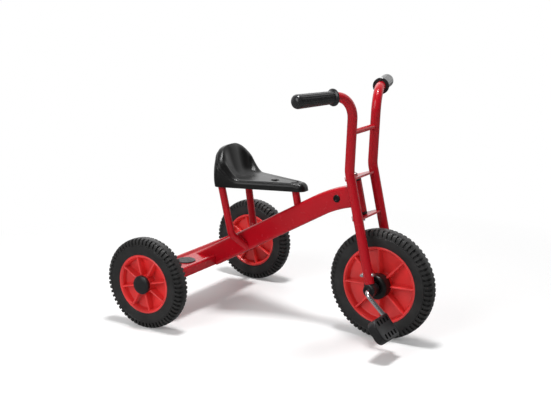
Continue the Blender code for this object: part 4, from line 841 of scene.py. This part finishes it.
def build_pedal(name, side):
    """Block pedal with a rounded outer end and two rows of slots right through it."""
    axis = JOINT_PLACE[f"pedal_{name}_spin"]
    place = Matrix.Translation((axis.x, 0, axis.z)) @ Matrix.Rotation(PEDAL_TILT, 4, "Y")
    half = PEDAL_WIDTH / 2
    thick = PEDAL_THICKNESS / 2
    inner = side * PEDAL_FACE
    outer = side * (PEDAL_FACE + PEDAL_LENGTH)
    corners = rectangle((-half, inner), (half, outer), PEDAL_INNER_ROUND, PEDAL_ROUND)
    block = Form()
    block.prism(rounded_outline(corners, 10), -thick, thick, place, PEDAL_EDGE, 5)
    slots = []
    first = PEDAL_FACE + PEDAL_WALL + SLOT_WIDTH / 2
    long = SLOT_LENGTH / 2
    wide = SLOT_WIDTH / 2
    for index in range(SLOT_COUNT):
        y = side * (first + index * SLOT_PITCH)
        for x in (-SLOT_OFFSET, SLOT_OFFSET):
            ring = rectangle((x - long, y - wide), (x + long, y + wide), SLOT_ROUND, SLOT_ROUND)
            slots.append(Form())
            slots[-1].prism(rounded_outline(ring, 4), -2 * thick, 2 * thick, place)
    name = f"pedal_{name}"
    show(name, cut(name, block.mesh("pedal"), slots), "black_plastic", name)


# Fork, handlebar and steering head

UPRIGHT = Vector((sin(KNEE_ANGLE), 0, cos(KNEE_ANGLE)))


def bar_direction(side):
    """Direction of a grip, level and swept back, in the steering frame."""
    level = Vector((-sin(BAR_SWEEP), side * cos(BAR_SWEEP), 0))
    return Vector((level.dot(STEER_FORWARD), level.y, level.dot(STEER_AXIS)))


def fork_point(side, height):
    """A point of a leg's centre line in the steering frame, or between the legs for side 0."""
    return mirrored(side, (FORK_OFFSET, FORK_HALF, height))


def build_fork_tube(name, side, foot):
    """Leg, upright and handlebar half in one bent tube."""
    knee = fork_point(side, KNEE_HEIGHT)
    corner = knee + UPRIGHT * UPRIGHT_LENGTH
    straight = BAR_STRAIGHT + GRIP_LENGTH - GRIP_END_WALL - WELD_GAP
    end = corner + bar_direction(side) * (BAR_BEND + straight)
    path = rounded_path([foot, knee, corner, end], [KNEE_RADIUS, BAR_BEND], 16)
    path = [STEERING @ point for point in path]
    show_tube(f"fork_tube_{name}", path, FORK_RADIUS, "steering", bore=(LEG_BORE_RADIUS, LEG_BORE_DEPTH))
    return corner


def fluted_ring(place, radius, height, depth):
    """A ring round a grip, with flutes of the given depth."""
    sides = GRIP_SIDES_PER_FLUTE * GRIP_FLUTES
    ring = []
    for index in range(sides):
        angle = 2 * pi * index / sides
        reach = radius - depth * (0.5 + 0.5 * cos(GRIP_FLUTES * angle)) ** 2
        ring.append(place @ Vector((reach * cos(angle), reach * sin(angle), height)))
    return ring


def build_grip(name, side, corner):
    """Rubber grip: flange, lengthwise flutes and a domed end."""
    along = bar_direction(side)
    start = STEERING @ (corner + along * (BAR_BEND + BAR_STRAIGHT))
    along = (STEERING.to_3x3() @ along).normalized()
    up = (Z - along * along.z).normalized()
    place = Matrix.Translation(start) @ Matrix((up, along.cross(up), along)).transposed().to_4x4()
    bore = FORK_RADIUS + WELD_GAP
    body_end = GRIP_LENGTH - GRIP_END_ROUND
    shape = [(bore, 0), *GRIP_FLANGE, (GRIP_ROOT_RADIUS, GRIP_BODY)]
    for step in range(1, GRIP_BODY_STEPS + 1):
        share = step / GRIP_BODY_STEPS
        shape.append((GRIP_ROOT_RADIUS + (GRIP_TIP_RADIUS - GRIP_ROOT_RADIUS) * share,
                      GRIP_BODY + (body_end - GRIP_BODY) * share))
    for step in range(1, GRIP_END_STEPS + 1):
        angle = pi / 2 * step / GRIP_END_STEPS
        shape.append((GRIP_TIP_RADIUS - GRIP_END_ROUND * (1 - cos(angle)),
                      body_end + GRIP_END_HEIGHT * sin(angle)))
    shape += [(GRIP_END_FLAT, GRIP_LENGTH), (0, GRIP_LENGTH)]
    rings = [fluted_ring(place, bore, GRIP_BORE_DEPTH, 0)]
    for radius, height in shape:
        begun = smooth_step(height, *GRIP_FLUTE_START)
        ended = smooth_step(height, *GRIP_FLUTE_END)
        rings.append(fluted_ring(place, radius, height, GRIP_FLUTE_DEPTH * begun * (1 - ended)))
    form = Form()
    form.skin(rings)
    form.show(f"grip_{name}", "grip_rubber", "steering")


def build_bearing(name, side, foot):
    """Plastic bearing: a round eye on the axle, a collar under the leg and a plug inside it."""
    form = Form()
    axle = STEERING @ fork_point(0, -HEAD_ABOVE_AXLE)
    form.lathe(BEARING_EYE, 6, across(axle, side), BEARING_OUTER_FACE)
    place = STEERING @ Matrix.Translation(foot)
    form.lathe(BEARING_COLLAR, 3, place)
    form.turned(rod(LEG_BORE_RADIUS - WELD_GAP, *BEARING_PLUG_ENDS), place, SMALL_STEPS)
    form.show(f"wheel_bearing_{name}", "black_plastic", "steering")


def build_leg_fasteners(name, foot):
    """Button head in front of the leg and a domed cap nut behind it."""
    spot = foot + Z * LEG_BOLT_ABOVE_END
    ahead = STEERING @ Matrix.Translation(spot) @ Matrix.Rotation(pi / 2, 4, "Y")
    seat = FORK_RADIUS - LEG_BOLT_SINK
    head = seat + LEG_BOLT_HEAD
    show_turned(f"leg_bolt_{name}", (LEG_BOLT, 6, ahead, head, SMALL_STEPS), "chrome", "steering")
    behind = ahead @ Matrix.Rotation(pi, 4, "X")
    nut = seat + LEG_NUT_HEX_SHARE * LEG_NUT_LENGTH
    tip = FORK_RADIUS + WELD_GAP + LEG_NUT_LENGTH
    hexagon = []
    for step in range(6):
        angle = pi * step / 3
        hexagon.append((LEG_NUT_RADIUS * cos(angle), LEG_NUT_RADIUS * sin(angle), LEG_NUT_EDGE))
    form = Form()
    form.prism(rounded_outline(hexagon, 2), seat, nut, behind, LEG_NUT_EDGE, 2)
    dome = [(0, tip)]
    for step in range(1, LEG_DOME_STEPS + 1):
        angle = pi / 2 * step / LEG_DOME_STEPS
        dome.append((LEG_DOME_RADIUS * sin(angle), nut + (tip - nut) * cos(angle)))
    form.turned(dome + [(LEG_DOME_RADIUS, seat), (0, seat)], behind, SMALL_STEPS)
    form.show(f"leg_nut_{name}", "chrome", "steering")


def build_head():
    """Head tube with a plain lip at both ends, and a flanged bush above and below."""
    half = HEAD_LENGTH / 2
    show_turned("head_tube", (HEAD_TUBE, 4, STEERING, half), "red_paint", "frame")
    top = half + WELD_GAP + BUSH_FLANGE
    for sign, name in ((1, "upper"), (-1, "lower")):
        place = STEERING @ Matrix.Scale(sign, 4, Z)
        show_turned(f"head_bush_{name}", (HEAD_BUSH, 5, place, top), "black_plastic", "frame")


def build_cross_tube():
    middle = fork_point(0, KNEE_HEIGHT) + UPRIGHT * CROSS_ABOVE_KNEE
    reach = Y * FORK_HALF
    ends = [STEERING @ (middle - reach), STEERING @ (middle + reach)]
    show_tube("cross_tube", ends, CROSS_TUBE_RADIUS, "steering")


def build_steering():
    for side, name in SIDES:
        foot = fork_point(side, LEG_END_RISE - HEAD_ABOVE_AXLE)
        corner = build_fork_tube(name, side, foot)
        build_grip(name, side, corner)
        build_bearing(name, side, foot)
        build_leg_fasteners(name, foot)
    build_cross_tube()
    build_head()


# Main beam and rear platform

def beam_places():
    """Tail, bend and head of the beam's centre line, and its slope."""
    head = HEAD + STEER_AXIS * BEAM_AT_HEAD
    tail = Vector((REAR_X - BEAM_TAIL_REACH, 0, DECK_Z - BEAM_TAIL_DROP))
    centre = head - STEER_FORWARD * BEAM_HEAD_STRAIGHT - STEER_AXIS * BEAM_BEND
    to_centre = centre - tail
    slope = atan2(to_centre.z, to_centre.x) + asin(BEAM_BEND / to_centre.length)
    lean = atan2(STEER_FORWARD.z, STEER_FORWARD.x)
    bend = BEAM_BEND * tan((slope - lean) / 2)
    knee = head - STEER_FORWARD * (BEAM_HEAD_STRAIGHT + bend)
    return tail, knee, head, slope


def beam_point(x):
    """The point of the beam's straight centre line at this distance in front of the rear axle."""
    tail, _, _, slope = beam_places()
    reach = REAR_X + x - tail.x
    return Vector((REAR_X + x, 0, tail.z + reach * tan(slope)))


def platform_profile(offset, steps):
    """Side section of the pressed platform's upper face, front to back, as (x, z) pairs."""
    rim = RIM_Z + offset
    deck = DECK_Z + offset
    front = DECK_FRONT + offset
    back = -DECK_BACK - offset
    inner_front = DECK_FRONT - DECK_RIM_WIDTH - offset
    inner_back = -DECK_BACK + DECK_RIM_WIDTH + offset
    corners = [
        (front, RIM_Z - DECK_FRONT_DROP), (front, rim), (inner_front, rim),
        (inner_front - DECK_RIM_HEIGHT, deck), (inner_back + DECK_RIM_HEIGHT, deck),
        (inner_back, rim), (back, rim), (back, RIM_Z - DECK_BACK_DROP),
    ]
    outer = DECK_ROUND + offset
    radii = [outer] + [DECK_ROUND / 3] * 4 + [outer]
    path = rounded_path([(x, 0, z) for x, z in corners], radii, steps)
    return [(point.x, point.z) for point in path]


def side_sheet(outline, half_width):
    """A form with a side section of (x, z) pairs from the rear axle, as wide to both sides."""
    form = Form()
    form.skin([[FROM_AXLE @ Vector((x, y, z)) for x, z in outline] for y in (-half_width, half_width)])
    return form


def build_beam():
    """Rounded rectangular tube, cut to the head tube and to the platform."""
    tail, knee, head, _ = beam_places()
    path = rounded_path([tail, knee, head], [BEAM_BEND], 28)
    wide = BEAM_WIDTH / 2
    tall = BEAM_HEIGHT / 2
    corners = rectangle((-wide, -tall), (wide, tall), BEAM_ROUND, BEAM_ROUND)
    section = rounded_outline(corners, 8)
    rings = []
    for index, point in enumerate(path):
        along = direction_at(path, index)
        up = Vector((-along.z, 0, along.x))
        rings.append([point + Y * x + up * z for x, z in section])
    beam = Form()
    beam.skin(rings)
    clearance = Form()
    clearance.turned(rod(HEAD_TUBE_RADIUS + WELD_GAP, -HEAD_LENGTH, HEAD_LENGTH), STEERING)
    top = platform_profile(WELD_GAP, 6)
    low = REAR_Z / 2
    under = side_sheet([(top[0][0], low)] + top + [(top[-1][0], low)], BEAM_WIDTH)
    show("main_beam", cut("main_beam", beam.mesh("main_beam"), [clearance, under]), "red_paint", "frame")
    for side, name in SIDES:
        centre = head - STEER_FORWARD * BEAM_PLUG_FROM_HEAD + Y * (side * wide)
        plug = (BEAM_PLUG, 6, across(centre, side), BEAM_PLUG_HEIGHT, SMALL_STEPS)
        show_turned(f"beam_plug_{name}", plug, "black_plastic", "frame", SEAT_SKIN)


def build_platform():
    """Pressed sheet with raised rims, and rolled front and back edges, on the axle tube."""
    section = platform_profile(0, 8) + platform_profile(-DECK_SHEET, 8)[::-1]
    sheet = side_sheet(section, DECK_HALF_WIDTH)
    sheet.show("rear_platform", "red_paint", "frame")
    for side, name in SIDES:
        build_step_pad(name, side)
    place = across((REAR_X, 0, REAR_Z), 1)
    show_turned("rear_axle_tube", (AXLE_TUBE, 3, place, AXLE_TUBE_HALF), "red_paint", "frame")


def build_step_pad(name, side):
    """Round pad with rings of grooves."""
    section = [(groove + out, drop) for groove in PAD_GROOVES for out, drop in PAD_GROOVE]
    section += [(PAD_RADIUS + out, drop) for out, drop in PAD_EDGE]
    section = [(0, 0), *section, (0, PAD_HEIGHT)]
    profile = [(reach, PAD_HEIGHT - drop) for reach, drop in section]
    form = Form()
    form.turned(profile, Matrix.Translation((REAR_X, side * PAD_FROM_CENTRE, DECK_Z + WELD_GAP)))
    form.show(f"step_pad_{name}", "black_plastic", "frame", PAD_SKIN)


# Seat

def seat_outline():
    """The seat's lower edge from the middle of the back, as (point, distance along its half)."""
    fine = rounded_path([(x, y, 0) for x, y in SEAT_EDGE], SEAT_EDGE_ROUNDS, SEAT_ARC_STEPS)
    lengths = [0]
    for start, end in zip(fine, fine[1:]):
        lengths.append(lengths[-1] + (end - start).length)
    half = []
    for index in range(SEAT_STEPS + 1):
        target = lengths[-1] * index / SEAT_STEPS
        place = max(i for i, length in enumerate(lengths[:-1]) if length <= target + TINY)
        span = lengths[place + 1] - lengths[place]
        mix = (target - lengths[place]) / span if span else 0
        half.append((fine[place].lerp(fine[place + 1], mix), target))
    return half + [(mirrored(-1, point), length) for point, length in reversed(half[1:-1])]


def slope_height(share):
    """Height over the pan as a share of the crest, smooth through the seat's slope table."""
    table = SEAT_INNER_SLOPE
    slopes = []
    for index in range(len(table)):
        before = table[max(index - 1, 0)]
        after = table[min(index + 1, len(table) - 1)]
        slopes.append((after[1] - before[1]) / (after[0] - before[0]))
    slopes[-1] = 0
    index = next((i for i in range(len(table) - 2) if share <= table[i + 1][0]), len(table) - 2)
    (low, start), (high, end) = table[index], table[index + 1]
    span = high - low
    t = min(max((share - low) / span, 0), 1.0)
    mix = 3 * t ** 2 - 2 * t ** 3
    rise = (t ** 3 - 2 * t ** 2 + t) * slopes[index] + (t ** 3 - t ** 2) * slopes[index + 1]
    return start + (end - start) * mix + span * rise


def seat_spoke(point, length):
    """One spoke of the seat's skin: lower edge, side with its groove, rolled rim, slope and pan."""
    share = min(length / SEAT_BACK_WRAP, 1.0)
    back = (1 + cos(pi * share ** SEAT_WRAP_POWER)) / 2
    crest = SEAT_BASE_Z + SEAT_SIDE + SEAT_BACK_RISE * back
    middle_x = min(max(point.x, SEAT_MEDIAL_REAR_X), SEAT_MEDIAL_FRONT_X)
    inward = Vector((middle_x, 0, 0)) - point
    reach = inward.length
    inward.normalize()
    nose = smooth_step(point.x, SEAT_NOSE_X - SEAT_NOSE_ROLL_RUN, SEAT_NOSE_X)
    roll = SEAT_SIDE_ROLL + (SEAT_BACK_ROLL - SEAT_SIDE_ROLL) * smooth_step(back, *SEAT_ROLL_FADE)
    roll += (SEAT_NOSE_ROLL - SEAT_SIDE_ROLL) * nose
    groove = SEAT_GROOVE_DEPTH * smooth_step(back, *SEAT_GROOVE_FADE)
    section = []
    for step in range(SEAT_WALL_STEPS):
        t = step / SEAT_WALL_STEPS
        offset = SEAT_SIDE_LEAN * t - SEAT_BACK_BULGE * back * 4 * t * (1 - t)
        section.append((offset, SEAT_BASE_Z + (crest - roll - SEAT_BASE_Z) * t))
    start = SEAT_SIDE_LEAN + roll
    for step in range(SEAT_ROLL_STEPS + 1):
        angle = pi / 2 * step / SEAT_ROLL_STEPS
        dent = groove * exp(-(((angle - SEAT_GROOVE_ANGLE) / SEAT_GROOVE_SPREAD) ** 2))
        arc = roll - dent
        section.append((start - arc * cos(angle), crest - roll + arc * sin(angle)))
    for step in range(1, SEAT_SLOPE_STEPS + 1):
        share = (step / SEAT_SLOPE_STEPS) ** SEAT_SLOPE_CROWDING
        height = SEAT_PAN_Z + (crest - SEAT_PAN_Z) * slope_height(share)
        section.append((start + (reach - start) * share, height))
    return [FROM_AXLE @ (point + inward * offset + Z * height) for offset, height in section]


def build_seat():
    """Moulded shell: a skin of spokes given its wall, with a dimple for each bolt."""
    build = bmesh.new()
    spokes = [[build.verts.new(place) for place in seat_spoke(*item)] for item in seat_outline()]
    for index, spoke in enumerate(spokes):
        following = spokes[(index + 1) % len(spokes)]
        for place in range(len(spoke) - 1):
            build.faces.new((spoke[place], spoke[place + 1], following[place + 1], following[place]))
    bmesh.ops.remove_doubles(build, verts=build.verts, dist=SEAT_MERGE)
    bmesh.ops.recalc_face_normals(build, faces=build.faces)
    highest = max(build.faces, key=lambda face: face.calc_center_median().z)
    if highest.normal.z < 0:
        bmesh.ops.reverse_faces(build, faces=build.faces)
    skin = add_object("seat_skin", to_mesh(build, "seat_skin"))
    shell = skin.modifiers.new("wall", "SOLIDIFY")
    shell.thickness = SEAT_WALL
    shell.offset = -1.0
    dimples = []
    for name, x in SEAT_BOLT_X.items():
        spot = Matrix.Translation((REAR_X + x, 0, SEAT_PAN_Z))
        dimples.append(Form())
        dimples[-1].lathe(SEAT_DIMPLE, 1, spot, steps=SMALL_STEPS)
        build_seat_bolt(name, spot)
    show("seat", cut("seat", applied(skin), dimples, SEAT_SHARP_ANGLE), "black_plastic", "frame", SEAT_SKIN)


def build_seat_bolt(name, spot):
    """Low domed head in its dimple."""
    form = Form()
    form.lathe(SEAT_BOLT, 8, spot, SEAT_BOLT_TOP, SMALL_STEPS)
    shank = rod(SEAT_BOLT_SHANK_RADIUS, -SEAT_BOLT_LENGTH[name], SEAT_BOLT_TOP - SEAT_BOLT[-1][1])
    form.turned(shank, spot, SMALL_STEPS)
    form.show(f"seat_bolt_{name}", "black_plastic", "frame", SEAT_SKIN)


def build_seat_supports():
    """One post in front and two bent tubes at the back, level under the carrier."""
    level = CARRIER_LOW_Z - WELD_GAP
    x = SEAT_BOLT_X["front"]
    top = Vector((REAR_X + x, 0, CARRIER_LOW_Z))
    down = Vector((sin(SEAT_POST_LEAN), 0, -cos(SEAT_POST_LEAN)))
    slope = beam_places()[3]
    drop = top.z - beam_point(x).z
    length = drop / (cos(SEAT_POST_LEAN) + sin(SEAT_POST_LEAN) * tan(slope))
    length -= BEAM_HEIGHT / 2 - SEAT_POST_SINK
    show_tube("seat_post_front", [top, top + down * length], SEAT_POST_RADIUS, "frame", floor=level)
    for side, name in SIDES:
        foot = beam_point(SUPPORT_FOOT_X)
        foot += mirrored(side, (0, BEAM_WIDTH / 2 - SUPPORT_FOOT_SINK, -SUPPORT_FOOT_DROP))
        knee = foot + mirrored(side, SUPPORT_KNEE)
        x, y = SEAT_CORNER
        top = mirrored(side, (REAR_X + x + SUPPORT_BEHIND, y - SUPPORT_INSIDE, CARRIER_LOW_Z))
        path = rounded_path([top, knee, foot], [SUPPORT_ROUND], 14)
        show_tube(f"seat_support_{name}", path, SEAT_POST_RADIUS, "frame", floor=level)


# Studio

def dress_frame():
    """Gives each CAD node that stays in view the finish of its record slot."""
    slots = {item["node"]: item["material_slot"] for item in frame["record"]["subparts"]}
    for name, node in frame["nodes"].items():
        node.data.materials.clear()
        node.data.materials.append(FINISHES[slots[name]])


def build_camera():
    data = bpy.data.cameras.new("camera")
    data.lens = CAMERA_LENS
    data.sensor_width = CAMERA_SENSOR
    camera = add_object("camera", data)
    level = cos(CAMERA_PITCH)
    forward = Vector((cos(CAMERA_YAW) * level, sin(CAMERA_YAW) * level, -sin(CAMERA_PITCH)))
    camera.location = CAMERA_PLACE
    camera.rotation_euler = forward.to_track_quat("-Z", "Y").to_euler()
    bpy.context.scene.camera = camera


def ray_is(tree, kind):
    return add_node(tree, "LightPath").outputs[f"Is {kind} Ray"]


def larger(tree, first, second):
    return add_node(tree, "Math", links={0: first, 1: second}, operation="MAXIMUM").outputs[0]


def mixed(tree, factor, first, second):
    return add_node(tree, "MixShader", links={"Fac": factor, 1: first, 2: second}).outputs[0]


def emission(tree, strength):
    return add_node(tree, "Emission", {"Strength": strength}).outputs[0]


def white_backdrop(tree):
    """How white the room is in a direction: the backdrop side is white, the rest is dim."""
    place = add_node(tree, "TexCoord").outputs["Generated"]
    side = add_node(tree, "VectorMath", {1: BACKDROP_SIDE}, {0: place}, operation="DOT_PRODUCT")
    values = {"From Min": BACKDROP_START, "From Max": BACKDROP_FULL, "To Min": ROOM_STRENGTH, "To Max": 1.0}
    ramp = add_node(tree, "MapRange", values, {"Value": side.outputs["Value"]})
    return larger(tree, ramp.outputs["Result"], ray_is(tree, "Camera"))


def seen_directly(tree):
    """1 for camera, glossy and transmission rays, which see the white background."""
    first = larger(tree, ray_is(tree, "Camera"), ray_is(tree, "Glossy"))
    return larger(tree, first, ray_is(tree, "Transmission"))


def build_floor():
    """A pale floor: white wherever it is seen unshaded, with the shadows of the object on it."""
    build = bmesh.new()
    bmesh.ops.create_grid(build, x_segments=1, y_segments=1, size=FLOOR_SIZE / 2)
    floor = add_object("floor", to_mesh(build, "floor"))
    shader = Shader("floor_white", FLOOR_COLOUR, FLOOR_ROUGHNESS)
    shader.patches(scale=2.0, factor=0.995, low=0.3, high=0.7)
    shader.set("Specular IOR Level", 0)
    tree = shader.tree
    matt = shader.base.outputs[0]
    near = add_node(tree, "AddShader", links={0: matt, 1: emission(tree, FLOOR_GLOW)})
    reach = add_node(tree, "VectorMath", links={0: shader.place}, operation="LENGTH")
    away = shader.ramp(reach.outputs["Value"], FLOOR_NEAR, FLOOR_FAR, 0, 1.0)
    direct = mixed(tree, away, near.outputs[0], emission(tree, 1.0))
    bright = mixed(tree, ray_is(tree, "Camera"), emission(tree, FLOOR_MIRRORED), direct)
    surface = mixed(tree, seen_directly(tree), matt, bright)
    tree.links.new(surface, tree.nodes["Material Output"].inputs["Surface"])
    floor.data.materials.append(shader.material)


def build_world():
    world = bpy.data.worlds.new("studio")
    world.use_nodes = True
    tree = world.node_tree
    background = tree.nodes["Background"]
    background.inputs["Color"].default_value = WHITE
    background.inputs["Strength"].default_value = WORLD_STRENGTH
    bright = add_node(tree, "Background", {"Color": WHITE}, {"Strength": white_backdrop(tree)})
    surface = mixed(tree, seen_directly(tree), background.outputs[0], bright.outputs[0])
    tree.links.new(surface, tree.nodes["World Output"].inputs["Surface"])
    bpy.context.scene.world = world


def build_studio():
    for name, place, size, power in LIGHTS:
        data = bpy.data.lights.new(name, "AREA")
        data.shape = "SQUARE"
        data.size = size
        data.energy = power
        light = add_object(name, data)
        light.location = place
        light.rotation_euler = (LIGHT_TARGET - Vector(place)).to_track_quat("-Z", "Y").to_euler()
    build_floor()
    build_world()
    bpy.context.scene.view_settings.view_transform = "Standard"


def main():
    dress_frame()
    build_camera()
    build_wheels()
    build_crank()
    for side, name in SIDES:
        build_pedal(name, side)
    build_steering()
    build_beam()
    build_platform()
    build_seat()
    build_seat_supports()
    build_studio()


main()
